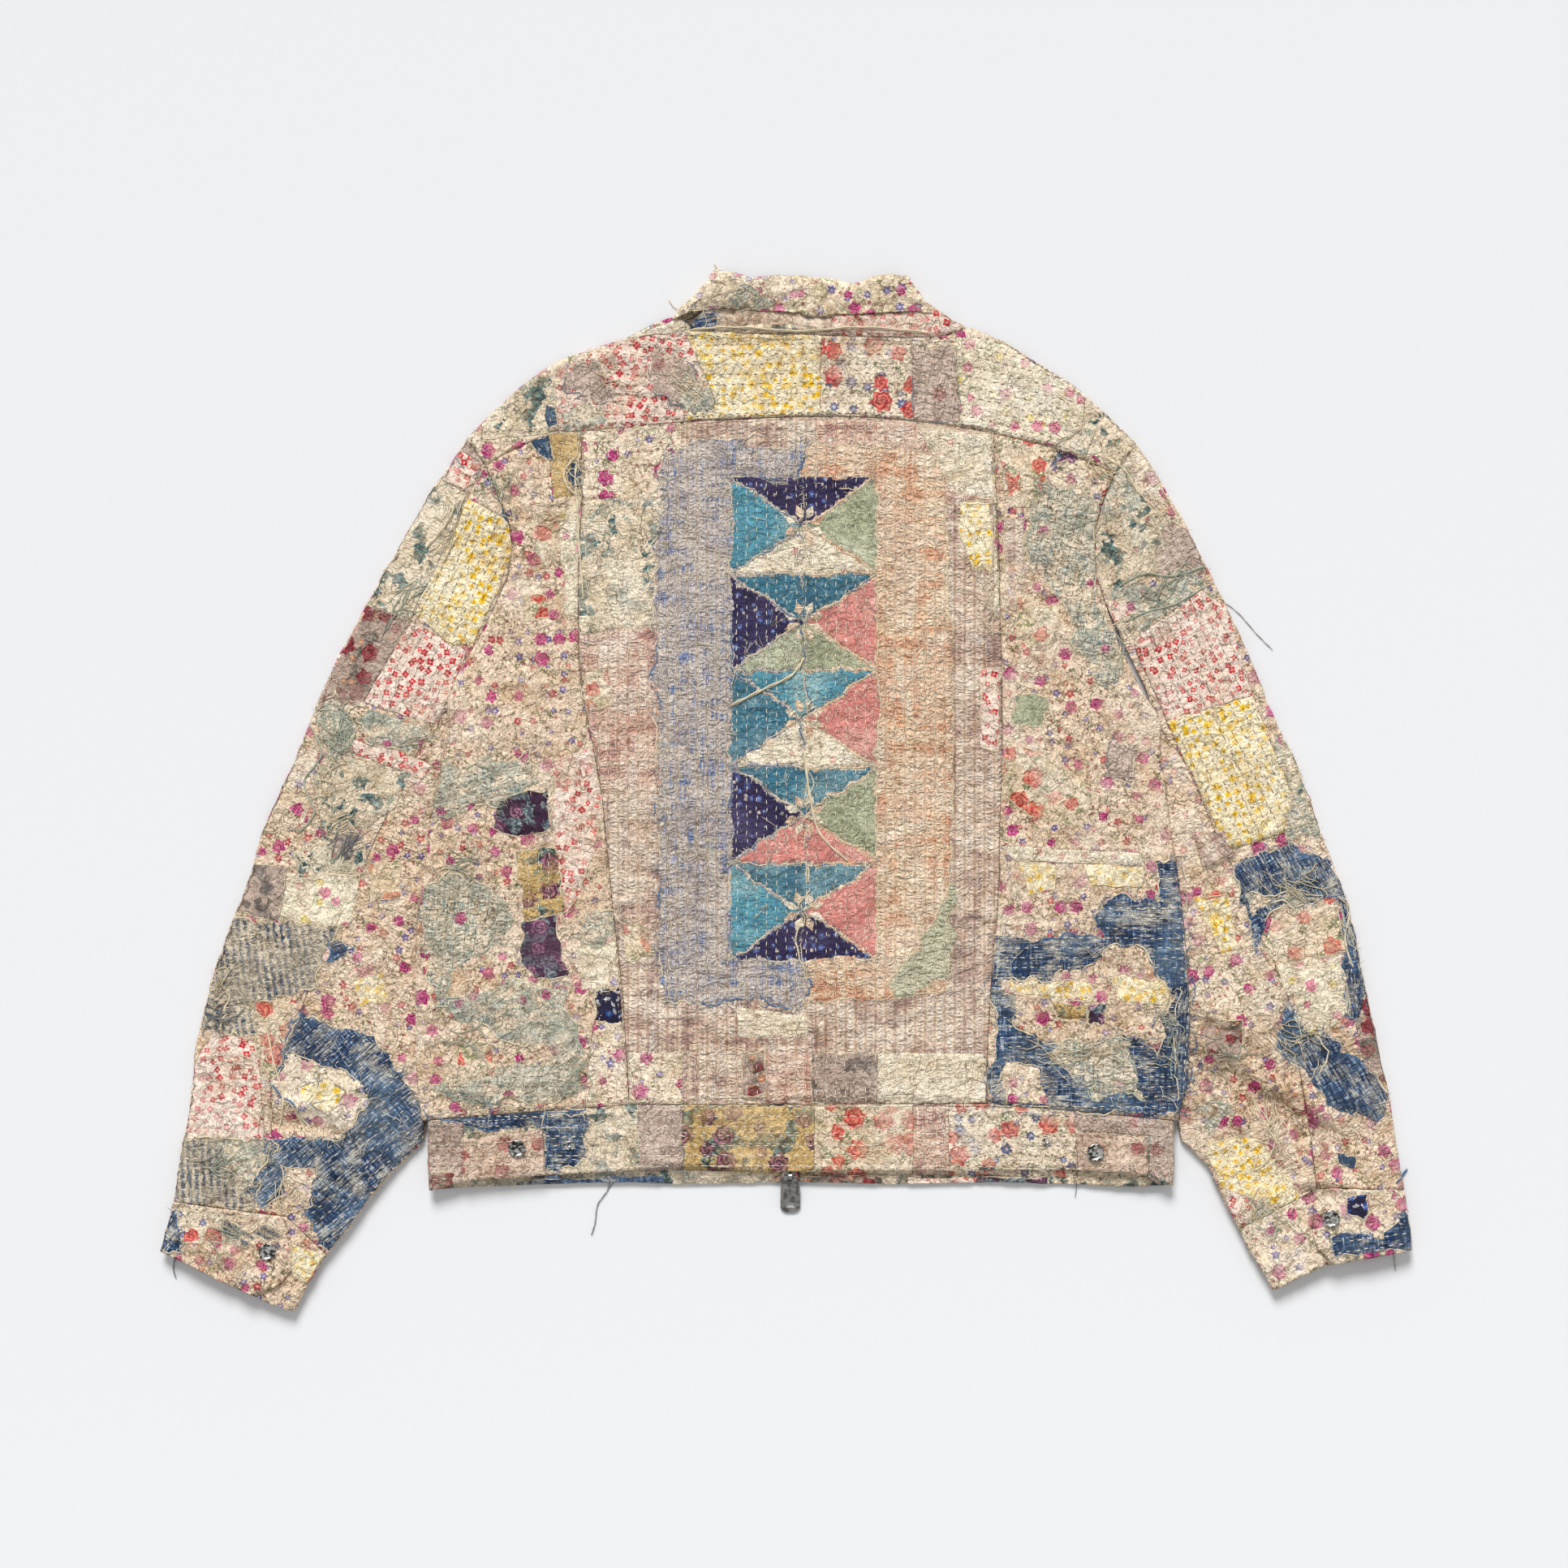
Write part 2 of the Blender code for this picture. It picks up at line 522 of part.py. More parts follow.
def front_panel(name, rows, shoulder, neck, armpit):
    """A front, lying under the back on the surface: side edge, shoulder fold, neck and zip edge."""
    radius = BODY_HEIGHT / 2
    fold = half_fold(radius)
    side = [Vector(shoulder[0])] + [Vector((row["edge_x"], row["edge_y"])) for row in rows]
    last = len(side) - 1
    top_line = [Vector(p) for p in shoulder + neck[1:]]
    lengths = [(b - a).length for a, b in zip(top_line, top_line[1:])]
    marks = [sum(lengths[:k]) / sum(lengths) for k in range(len(shoulder) - 2, len(top_line))]
    top_end, low_end = top_line[-1], Vector((neck[-1][0], height_along(FRONT_WAIST, neck[-1][0])))

    def at(u, v):
        """The point at these shares of the width and height, fitted to all four edges."""
        index = min(int(v * last), last - 1)
        start = side[index].lerp(side[index + 1], v * last - index)
        bulge = point_along(top_line, u) - top_line[0].lerp(top_end, u)
        return start.lerp(top_end.lerp(low_end, v), u) + bulge * (1 - v)

    made = []
    for v, roll in [(d / 30 / last, angle) for d, angle in fold] + [(k / last, 0.0) for k in FRONT_ROWS]:
        width = (at(1, v) - at(0, v)).length
        inward = (at(1, v) - at(0, v)) / width
        open_side = v * last < armpit + 1.01
        line = []
        stops = [(d / width, a) for d, a in fold + [(46, 0), (94, 0)]]
        for u, angle in stops + [(u, 0) for u in marks]:
            spot, out = at(u, v), -inward
            if open_side:
                angle = 0.0
            if roll and u < marks[1] - 0.001:
                angle, out = roll, (at(u, 0) - at(u, 0.02)).normalized()
            flat = out * math.sin(angle)
            low = body_lift(*spot) + radius * (1 - math.cos(angle))
            line.append(station(spot, low, (*flat, -math.cos(angle))))
        line[-1] = pulled(line[-1], line[-2], SEAM / 2)
        if open_side:
            line[0] = pulled(line[0], line[1], SEAM / 2)
        made.append(line)
    for k in range(-len(neck), 0):
        made[0][k] = pulled(made[0][k], made[1][k], SEAM / 2)
    return wall(name, trimmed(made, ("last_row",)), BODY_WALL, "beige")


def sleeve(side, rows, colour):
    """Upper and under sleeve: two strips folded round the outer and inner edge, meeting at the back seam."""
    upper, under = [], []
    for k, row in enumerate(rows):
        outer, seam = Vector((row["outer_x"], row["outer_y"])), Vector((row["seam_x"], row["seam_y"]))
        low, high = row["lift"], row["lift"] + row["height"]
        upper.append(folded_strip(outer, seam, low, high, (1.0, 0.7, 0.36)))
        if k >= FIRST_UNDER_ROW:
            inner = Vector((row["inner_x"], row["inner_y"]))
            under.append(folded_strip(inner, seam, low, high, (1.0, 0.5)))
    ends = ("first_row", "last_row", "first_column", "last_column")
    wall(f"sleeve_upper_{side}", trimmed(upper, ends), SLEEVE_WALL, colour)
    wall(f"sleeve_under_{side}", trimmed(under, ends), SLEEVE_WALL, "cream")


def folded_strip(edge, seam, low, high, shares):
    """Stations from the seam over the top, round the fold and back to the seam underneath."""
    width = (seam - edge).length
    inward = (seam - edge) / width
    start = (high - low) / 2
    flats = [edge + inward * (start + (width - start) * share) for share in shares]
    top = [station(spot, high + rise_at(SLEEVE_FOLDS, *spot) * fade(spot, edge), (0, 0, 1)) for spot in flats]
    bottom = [station(spot, low, (0, 0, -1)) for spot in reversed(flats)]
    return top + full_fold(edge, inward, low, high) + bottom


def fade(spot, edge):
    """Folds die away within 20 mm of an edge."""
    return min((spot - edge).length / 20, 1.0)


def waistband(name):
    """The waistband, one strip from the zip round both sides and across the back."""
    radius = BODY_HEIGHT / 2
    (left_x, left_hem), (right_x, right_hem) = LEFT_WAIST_END[1][:2], RIGHT_WAIST_END[1][:2]
    zip_left, zip_right = ZIP_X - ZIP_HALF_GAP, ZIP_X + ZIP_HALF_GAP
    made = []
    for share in (0.0, 0.5, 1.0):
        left = Vector((left_x, height_along(WAIST_SEAM, left_x) * (1 - share) + left_hem * share))
        right = Vector((right_x, height_along(WAIST_SEAM, right_x) * (1 - share) + right_hem * share))
        left_low, right_low = body_lift(left.x + radius, left.y), body_lift(right.x - radius, right.y)
        back = [(x, height_along(WAIST_SEAM, x) * (1 - share) + height_along(BACK_HEM, x) * share)
                for x in WAIST_COLUMNS]
        front = [(x, height_along(FRONT_WAIST, x) * (1 - share) + height_along(FRONT_HEM, x) * share)
                 for x in WAIST_COLUMNS[:7] + (zip_left, zip_right) + WAIST_COLUMNS[9:]]
        line = [station(p, body_lift(*p), (0, 0, -1)) for p in reversed(front[:8])]
        line += reversed(full_fold(left, (1, 0), left_low, left_low + BODY_HEIGHT))
        line += [station(p, body_top(*p), (0, 0, 1)) for p in back]
        line += full_fold(right, (-1, 0), right_low, right_low + BODY_HEIGHT)
        line += [station(p, body_lift(*p), (0, 0, -1)) for p in reversed(front[8:])]
        made.append(line)
    return wall(name, trimmed(made, ("first_row", "first_column", "last_column")), BODY_WALL, "cream")


def cuff(name, table, turn, ends, colour):
    """A cuff: a strip round the wrist whose snapped end lies over its other end."""
    top = [Vector(row[:2]) for row in table]
    hem = [Vector(row[2:]) for row in table]

    def at(u, v):
        first, second = (0, 1) if u <= turn else (1, 2)
        share = u / turn if u <= turn else (u - turn) / (1 - turn)
        return top[first].lerp(top[second], share).lerp(hem[first].lerp(hem[second], share), v)

    made = []
    rows = len(ends) - 1
    for i, reach in enumerate(ends):
        v = i / rows
        low = CUFF_LIFT[0] * (1 - v) + CUFF_LIFT[1] * v
        outer, inner = at(0, v), at(1, v)
        over = low + CUFF_HEIGHT + SLEEVE_WALL + SEAM
        start = max(reach - 0.22, 0.1)
        line = [station(at(u, v), low + CUFF_HEIGHT, (0, 0, 1)) for u in (start, turn)]
        line += full_fold(inner, (at(0.9, v) - inner).normalized(), low, low + CUFF_HEIGHT)
        line += [station(at(u, v), low, (0, 0, -1)) for u in (turn, turn * 0.5)]
        line += reversed(full_fold(outer, (at(0.1, v) - outer).normalized(), low, low + CUFF_HEIGHT))
        line += [station(at(u, v), over, (0, 0, 1)) for u in (start - 0.03, (start + reach) / 2, reach)]
        made.append(line)
    return wall(name, trimmed(made, ("first_row",)), SLEEVE_WALL, colour)


def rolled_point(core, mid, radius, side, side_angle, top_way, roll):
    """A station of the collar fall, whose upper edge rolls over and whose sides fold round."""
    flat = Vector(side) * math.sin(side_angle) * math.cos(roll) + Vector(top_way) * math.sin(roll)
    out = Vector((flat.x, flat.y, math.cos(side_angle) * math.cos(roll))).normalized()
    return Vector((core.x, core.y, mid)) + out * radius, out


def collar_fall():
    """The collar fall, rolled over the stand along its upper edge, with a leaf each side underneath."""
    radius = FALL_HEIGHT / 2
    back = [(Vector(c[:2]), Vector(c[2:])) for c in FALL_BACK]
    columns = [(Vector(c[:2]), Vector(c[2:]), Vector((0, 0)), math.pi) for c in FALL_LEFT_LEAF]
    left_side = (back[0][0] - back[1][0] + back[0][1] - back[1][1]).normalized()
    right_side = (back[-1][0] - back[-2][0] + back[-1][1] - back[-2][1]).normalized()
    turns = [math.pi * k / FOLD_STEPS for k in range(FOLD_STEPS + 1)]
    for a in reversed(turns):
        columns.append((back[0][0] - left_side * radius, back[0][1] - left_side * radius, left_side, a))
    columns += [(top, low, Vector((0, 0)), 0.0) for top, low in back[1:-1]]
    for a in turns:
        columns.append((back[-1][0] - right_side * radius, back[-1][1] - right_side * radius, right_side, a))
    columns += [(Vector(c[:2]), Vector(c[2:]), Vector((0, 0)), math.pi) for c in FALL_RIGHT_LEAF]
    rolls = [math.radians(a) for a in (78, 52, 26, 0)]
    made = []
    for roll, share in [(roll, 0.0) for roll in rolls] + [(0.0, 0.5), (0.0, 1.0)]:
        line = []
        for top, low, side, angle in columns:
            up = (top - low).normalized()
            core = (top - up * radius).lerp(low, share)
            line.append(rolled_point(core, radius, radius, side, angle, up, roll))
        made.append(line)
    return wall("collar_fall", made, FALL_WALL, "cream")


def collar_stand():
    """The collar stand, between the neck seam and the roll, with its front ends underneath."""
    back = [(Vector(c[:2]), Vector(c[2:])) for c in STAND_BACK]
    made = []
    for share, leaf_y, low, high in STAND_ROWS:
        def leaf(columns):
            found = []
            for top_x, top_y, foot_x, foot_y in columns:
                part = share if leaf_y is None else (top_y - leaf_y) / (top_y - foot_y)
                spot = Vector((top_x, top_y)).lerp(Vector((foot_x, foot_y)), part)
                found.append(station(spot, low, (0, 0, -1)))
            return found

        row = [top.lerp(foot, share) for top, foot in back]
        line = leaf(STAND_LEFT_LEAF)
        line += reversed(full_fold(row[0], (row[1] - row[0]).normalized(), low, high))
        line += [station(spot, high, (0, 0, 1)) for spot in row[1:-1]]
        line += full_fold(row[-1], (row[-2] - row[-1]).normalized(), low, high)
        line += leaf(STAND_RIGHT_LEAF)
        made.append(line)
    return wall("collar_stand", trimmed(made, ("last_row",)), STAND_WALL, "mauve")


def patch(name, panel, first_row, last_row, first_column, last_column, colour):
    """A patch made from a block of its panel's own stations, moved out."""
    rows = []
    for line in panels[panel][first_row : last_row + 1]:
        rows.append([(s + o * (SEAM + PATCH_WALL), o) for s, o in line[first_column : last_column + 1]])
    sides = ("first_row", "last_row", "first_column", "last_column")
    return wall(name, trimmed(rows, sides), PATCH_WALL, colour)


def waist_tab(name, corners, colour):
    """A strap on the waistband, its underside one seam gap above it."""
    a, b, c, d = (Vector(p) for p in corners)
    made = []
    for v in (0.0, 0.5, 1.0):
        line = []
        for k in range(5):
            spot = a.lerp(b, k / 4).lerp(d.lerp(c, k / 4), v)
            line.append(station(spot, body_top(*spot) + SEAM + 0.5 + TAB_WALL, (0, 0, 1)))
        made.append(line)
    return wall(name, made, TAB_WALL, colour)


def seat(thing, x, y):
    """The spot of a piece's upper face at x, y, and the way that this face looks."""
    shape = thing.data
    tree = BVHTree.FromPolygons([v.co for v in shape.vertices], [f.vertices for f in shape.polygons])
    above = Vector((x + CENTRE_SHIFT[0], y + CENTRE_SHIFT[1], 50)) * MM
    spot, normal, index, distance = tree.ray_cast(above, (0, 0, -1))
    return spot, normal


def turned(name, profile, thing, x, y):
    """A round piece from a half profile of radius and height, seated on another piece."""
    points, faces = [], []
    for radius, height in profile:
        for k in range(TURNED_SIDES):
            a = 2 * math.pi * k / TURNED_SIDES
            points.append((radius * math.cos(a), radius * math.sin(a), height))
    rings = len(profile)
    for i in range(rings):
        j = (i + 1) % rings
        for k in range(TURNED_SIDES):
            n = (k + 1) % TURNED_SIDES
            corners = (i * TURNED_SIDES + k, i * TURNED_SIDES + n, j * TURNED_SIDES + n, j * TURNED_SIDES + k)
            faces.append(corners)
    made = new_object(name, mesh_of(name, points, faces, shift=(0, 0)), "metal")
    made.data.shade_smooth()
    made.data.set_sharp_from_angle(angle=math.radians(35))
    spot, normal = seat(thing, x, y)
    made.location = spot + normal * SNAP_GAP * MM
    made.rotation_euler = normal.to_track_quat("Z", "Y").to_euler()
    return made


def snap_cap(name, thing, x, y):
    """A domed snap cap with a raised rim."""
    rim = CAP_RADIUS
    profile = ((0.4, 0), (rim - 0.6, 0), (rim, 0.5), (rim, 1.1), (rim - 0.6, 1.6), (rim - 1.3, 1.5),
               (rim - 2.6, 2.1), (0.4, 2.5))
    return turned(name, profile, thing, x, y)


def spare_snap(name, thing, x, y):
    """The open half of a spare snap: a ring with a short tube."""
    rim = SPARE_RADIUS
    profile = ((1.5, 0), (rim - 0.4, 0), (rim, 0.4), (rim, 0.9), (rim - 0.6, 1.2), (rim - 1.6, 0.8),
               (rim - 2.0, 1.7), (1.5, 1.7))
    return turned(name, profile, thing, x, y)


def extruded(name, outline, depth, lift, colour, upright=False, shift=CENTRE_SHIFT):
    """A plate from an outline, thickened along Z, or along X for an upright outline of y and z."""
    count = len(outline)
    points = []
    for offset in (lift, lift + depth):
        for a, b in outline:
            points.append((offset, a, b) if upright else (a, b, offset))
    faces = [tuple(range(count)), tuple(range(2 * count - 1, count - 1, -1))]
    faces += [(k, (k + 1) % count, count + (k + 1) % count, count + k) for k in range(count)]
    return new_object(name, mesh_of(name, points, faces, shift), colour)


def hide_helper(thing):
    thing.hide_render = True
    thing.display_type = "WIRE"


def join_or_cut(thing, helper, operation):
    step = thing.modifiers.new(helper.name, "BOOLEAN")
    step.operation = operation
    step.solver = "EXACT"
    step.object = helper
    hide_helper(helper)


def rectangle(width, start, end, x=0.0):
    return ((x - width / 2, start), (x + width / 2, start), (x + width / 2, end), (x - width / 2, end))


def zip_slider():
    """Slider: two plates on a post, with a bail for the pull tab on the upper plate."""
    pivot_y, pivot_z = PULL_PIVOT[1:]
    plate = rectangle(PLATE_WIDTH, SLIDER_NOSE, SLIDER_BACK, ZIP_X)
    upper_top = pivot_z - 1.6
    body = extruded("zip_slider", plate, PLATE_THICK, upper_top - PLATE_THICK, "metal")
    lower = extruded("slider_lower_plate", plate, PLATE_THICK, SLIDER_BOTTOM, "metal")
    post_outline = rectangle(2.6, SLIDER_NOSE + 3, SLIDER_BACK - 2, ZIP_X)
    post_high = upper_top - SLIDER_BOTTOM - 1.2
    post = extruded("slider_post", post_outline, post_high, SLIDER_BOTTOM + 0.6, "metal")
    arc = [math.pi * k / 10 for k in range(11)]
    ring = [(pivot_y - BAIL_OUTER, upper_top - 0.5)]
    ring += [(pivot_y - BAIL_OUTER * math.cos(a), pivot_z + BAIL_OUTER * math.sin(a)) for a in arc]
    ring += [(pivot_y + BAIL_OUTER, upper_top - 0.5), (pivot_y + BAIL_INNER, upper_top - 0.5)]
    ring += [(pivot_y + BAIL_INNER * math.cos(a), pivot_z + BAIL_INNER * math.sin(a)) for a in arc]
    ring.append((pivot_y - BAIL_INNER, upper_top - 0.5))
    bail = extruded("slider_bail", ring, BAIL_WIDTH, ZIP_X - BAIL_WIDTH / 2, "metal", upright=True)
    for helper in (post, lower, bail):
        join_or_cut(body, helper, "UNION")
    return body


def zip_pull():
    """Pull tab, modelled about its own pivot and laid down to the surface by its parent empty."""
    left = [(-half, -s) for s, half in PULL_OUTLINE]
    right = [(half, -s) for s, half in reversed(PULL_OUTLINE)]
    tab = extruded("zip_pull", left + right, PULL_THICK, -PULL_THICK / 2, "metal", shift=(0, 0))
    start, end, width = PULL_SLOT
    slot = extruded("pull_slot", rectangle(width, -end, -start), 4, -2, "metal", shift=(0, 0))
    start, end, width = PULL_EYE
    arch = [(width / 2 * math.cos(a), -end + (end - start) * math.sin(a))
            for a in (math.pi * k / 10 for k in range(11))]
    eye = extruded("pull_eye", arch, 4, -2, "metal", shift=(0, 0))
    join_or_cut(tab, slot, "DIFFERENCE")
    join_or_cut(tab, eye, "DIFFERENCE")
    axis = bpy.data.objects.new("zip_pull_axis", None)
    bpy.context.scene.collection.objects.link(axis)
    axis.location = (Vector(PULL_PIVOT) + Vector((*CENTRE_SHIFT, 0))) * MM
    axis.rotation_euler.x = math.radians(PULL_REST_TILT)
    for thing in (tab, slot, eye):
        thing.parent = axis
    return tab


def zip_tape(name, sign):
    """One side's zip tape, between the zip edge of the front and the middle of the zip."""
    inner, outer = ZIP_X + sign * SEAM / 2, ZIP_X + sign * (ZIP_HALF_GAP - SEAM)
    low, high = SLIDER_BACK + SEAM, 331
    outline = ((inner, low), (outer, low), (outer, high), (inner, high))
    return extruded(name, outline, 1.2, 0.9, "tape")


panels, yoke_edge = {}, {}
left_rows = table_rows(SIDE_COLUMNS, LEFT_SIDE)
right_rows = table_rows(SIDE_COLUMNS, RIGHT_SIDE)

clear_scene()
side_panel("back_side_left", left_rows, LEFT_ARMPIT)
side_panel("back_side_right", right_rows, RIGHT_ARMPIT)
centre_panel("back_centre")
yoke("back_yoke")
front_panel("front_left", left_rows, YOKE_TOP[: NECK_LEFT + 1], LEFT_NECK, LEFT_ARMPIT)
front_panel("front_right", right_rows, YOKE_TOP[: NECK_RIGHT - 1 : -1], RIGHT_NECK, RIGHT_ARMPIT)
band = waistband("waistband")
sleeve("left", table_rows(SLEEVE_COLUMNS, LEFT_SLEEVE), "beige")
sleeve("right", table_rows(SLEEVE_COLUMNS, RIGHT_SLEEVE), "beige")
left_cuff = cuff("cuff_left", LEFT_CUFF, LEFT_CUFF_SEAM, LEFT_CUFF_END, "mauve")
right_cuff = cuff("cuff_right", RIGHT_CUFF, RIGHT_CUFF_SEAM, RIGHT_CUFF_END, "mauve")
collar_fall()
collar_stand()
for row in PATCHES:
    patch(*row)

left_tab = waist_tab("waist_tab_left", LEFT_TAB, "mauve")
right_tab = waist_tab("waist_tab_right", RIGHT_TAB, "mauve")
snap_cap("waist_snap_left", left_tab, *LEFT_TAB_SNAP)
snap_cap("waist_snap_right", right_tab, *RIGHT_TAB_SNAP)
snap_cap("cuff_snap_left", left_cuff, *LEFT_CUFF_SNAP)
snap_cap("cuff_snap_right", right_cuff, *RIGHT_CUFF_SNAP)
spare_snap("spare_snap_left", band, *LEFT_SPARE_SNAP)
spare_snap("spare_snap_right", band, *RIGHT_SPARE_SNAP)

zip_tape("zip_tape_left", -1)
zip_tape("zip_tape_right", 1)
zip_slider()
zip_pull()
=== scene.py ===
import math
import random

import bmesh
import bpy
import numpy as np
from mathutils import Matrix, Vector
from mathutils.bvhtree import BVHTree
from mathutils.geometry import delaunay_2d_cdt


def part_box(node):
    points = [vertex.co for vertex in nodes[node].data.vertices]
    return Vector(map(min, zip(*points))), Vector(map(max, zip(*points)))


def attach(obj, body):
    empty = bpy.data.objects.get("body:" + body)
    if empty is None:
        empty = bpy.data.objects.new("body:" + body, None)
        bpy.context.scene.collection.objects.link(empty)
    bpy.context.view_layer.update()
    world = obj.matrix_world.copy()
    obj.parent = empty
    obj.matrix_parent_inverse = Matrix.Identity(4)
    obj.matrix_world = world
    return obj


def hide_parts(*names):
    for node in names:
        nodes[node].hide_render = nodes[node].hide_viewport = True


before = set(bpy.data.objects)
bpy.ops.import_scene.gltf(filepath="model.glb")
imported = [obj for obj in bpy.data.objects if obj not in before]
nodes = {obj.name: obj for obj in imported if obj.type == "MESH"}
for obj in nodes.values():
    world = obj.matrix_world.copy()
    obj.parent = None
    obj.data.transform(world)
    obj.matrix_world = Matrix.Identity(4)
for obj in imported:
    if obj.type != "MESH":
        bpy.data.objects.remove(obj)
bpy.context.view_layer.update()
mm = 0.001
dice = random.Random(41)
print("frame loaded:", len(nodes), "nodes")


def hexColour(text):  # sRGB hex to linear
    channels = [int(text[i:i + 2], 16) / 255 for i in (0, 2, 4)]
    return tuple(c / 12.92 if c <= 0.04045 else ((c + 0.055) / 1.055) ** 2.4 for c in channels) + (1.0,)


# Settings that all nodes of a kind share here, and its inputs in the order in which the calls give them
usualSettings = {"Mix": dict(data_type="RGBA"), "TexNoise": dict(noise_dimensions="2D"),
                 "TexVoronoi": dict(voronoi_dimensions="2D"), "VectorRotate": dict(rotation_type="Z_AXIS")}
inputOrder = {"Mix": (0, 6, 7), "TexNoise": ("Vector", "Scale", "Detail", "Roughness"),
              "TexVoronoi": ("Vector", "Scale", "Randomness"), "VectorRotate": ("Vector", "Angle"),
              "Bump": ("Height", "Strength", "Distance")}


def add(tree, kind, *values, links=None, out=None, stops=None, **settings):
    # kind may end in an operation, as in Math.ADD; links gives inputs by name; out is the output's number
    kind, _, operation = kind.partition(".")
    if operation:
        settings["operation"] = operation
    node = tree.nodes.new("ShaderNode" + kind)
    for name, value in {**usualSettings.get(kind, {}), **settings}.items():
        setattr(node, name, value)
    given = dict(zip(inputOrder.get(kind, range(len(values))), values))
    for name, value in {**given, **(links or {})}.items():
        if isinstance(value, bpy.types.NodeSocket):
            tree.links.new(value, node.inputs[name])
        else:
            node.inputs[name].default_value = value
    if stops:  # colour ramp: (place, hex colour) pairs
        ramp = node.color_ramp.elements
        while len(ramp) < len(stops):
            ramp.new(0.5)
        for element, (place, colour) in zip(ramp, stops):
            element.position = place
            element.color = hexColour(colour)
    if out is None:
        out = 2 if kind == "Mix" else 0
    return node.outputs[out]


def newMaterial(name):
    material = bpy.data.materials.new(name)
    material.use_nodes = True
    tree = material.node_tree
    tree.nodes.clear()
    tree.nodes.new("ShaderNodeOutputMaterial")
    return material, tree


def finishMaterial(tree, shader):
    tree.links.new(shader, tree.nodes["Material Output"].inputs["Surface"])


rowGap = 7.8  # mm between the rows of running stitches
stitchPitch = 6.9  # mm from one hand stitch to the next
rippleWidth = 3.9  # mm from one ripple to the next along a row

# Printed cottons: a ground colour and the motifs printed on it, sizes in mm
fullTurn = 6.283


def printed(kind, size, colours, strength, **more):  # one motif, in a dark and a light ink
    return dict(kind=kind, size=size, colours=colours.split(), strength=strength, **more)


def cotton(colours, pucker, motifs, **more):  # colours of the ground, of the worn and of the stained places
    ground, worn, stain = colours.split()
    return dict(ground=ground, worn=worn, stain=stain, pucker=pucker, motifs=motifs, **more)


def scattered(tree, place, *spacing):  # place about each motif's middle, and three chances for each
    cell = add(tree, "TexVoronoi", place, *spacing).node
    local = add(tree, "VectorMath.SUBTRACT", place, cell.outputs["Position"])
    chance = add(tree, "SeparateColor", cell.outputs["Color"]).node.outputs
    spin = add(tree, "Math.MULTIPLY", chance[0], fullTurn)
    return add(tree, "VectorRotate", local, spin), chance


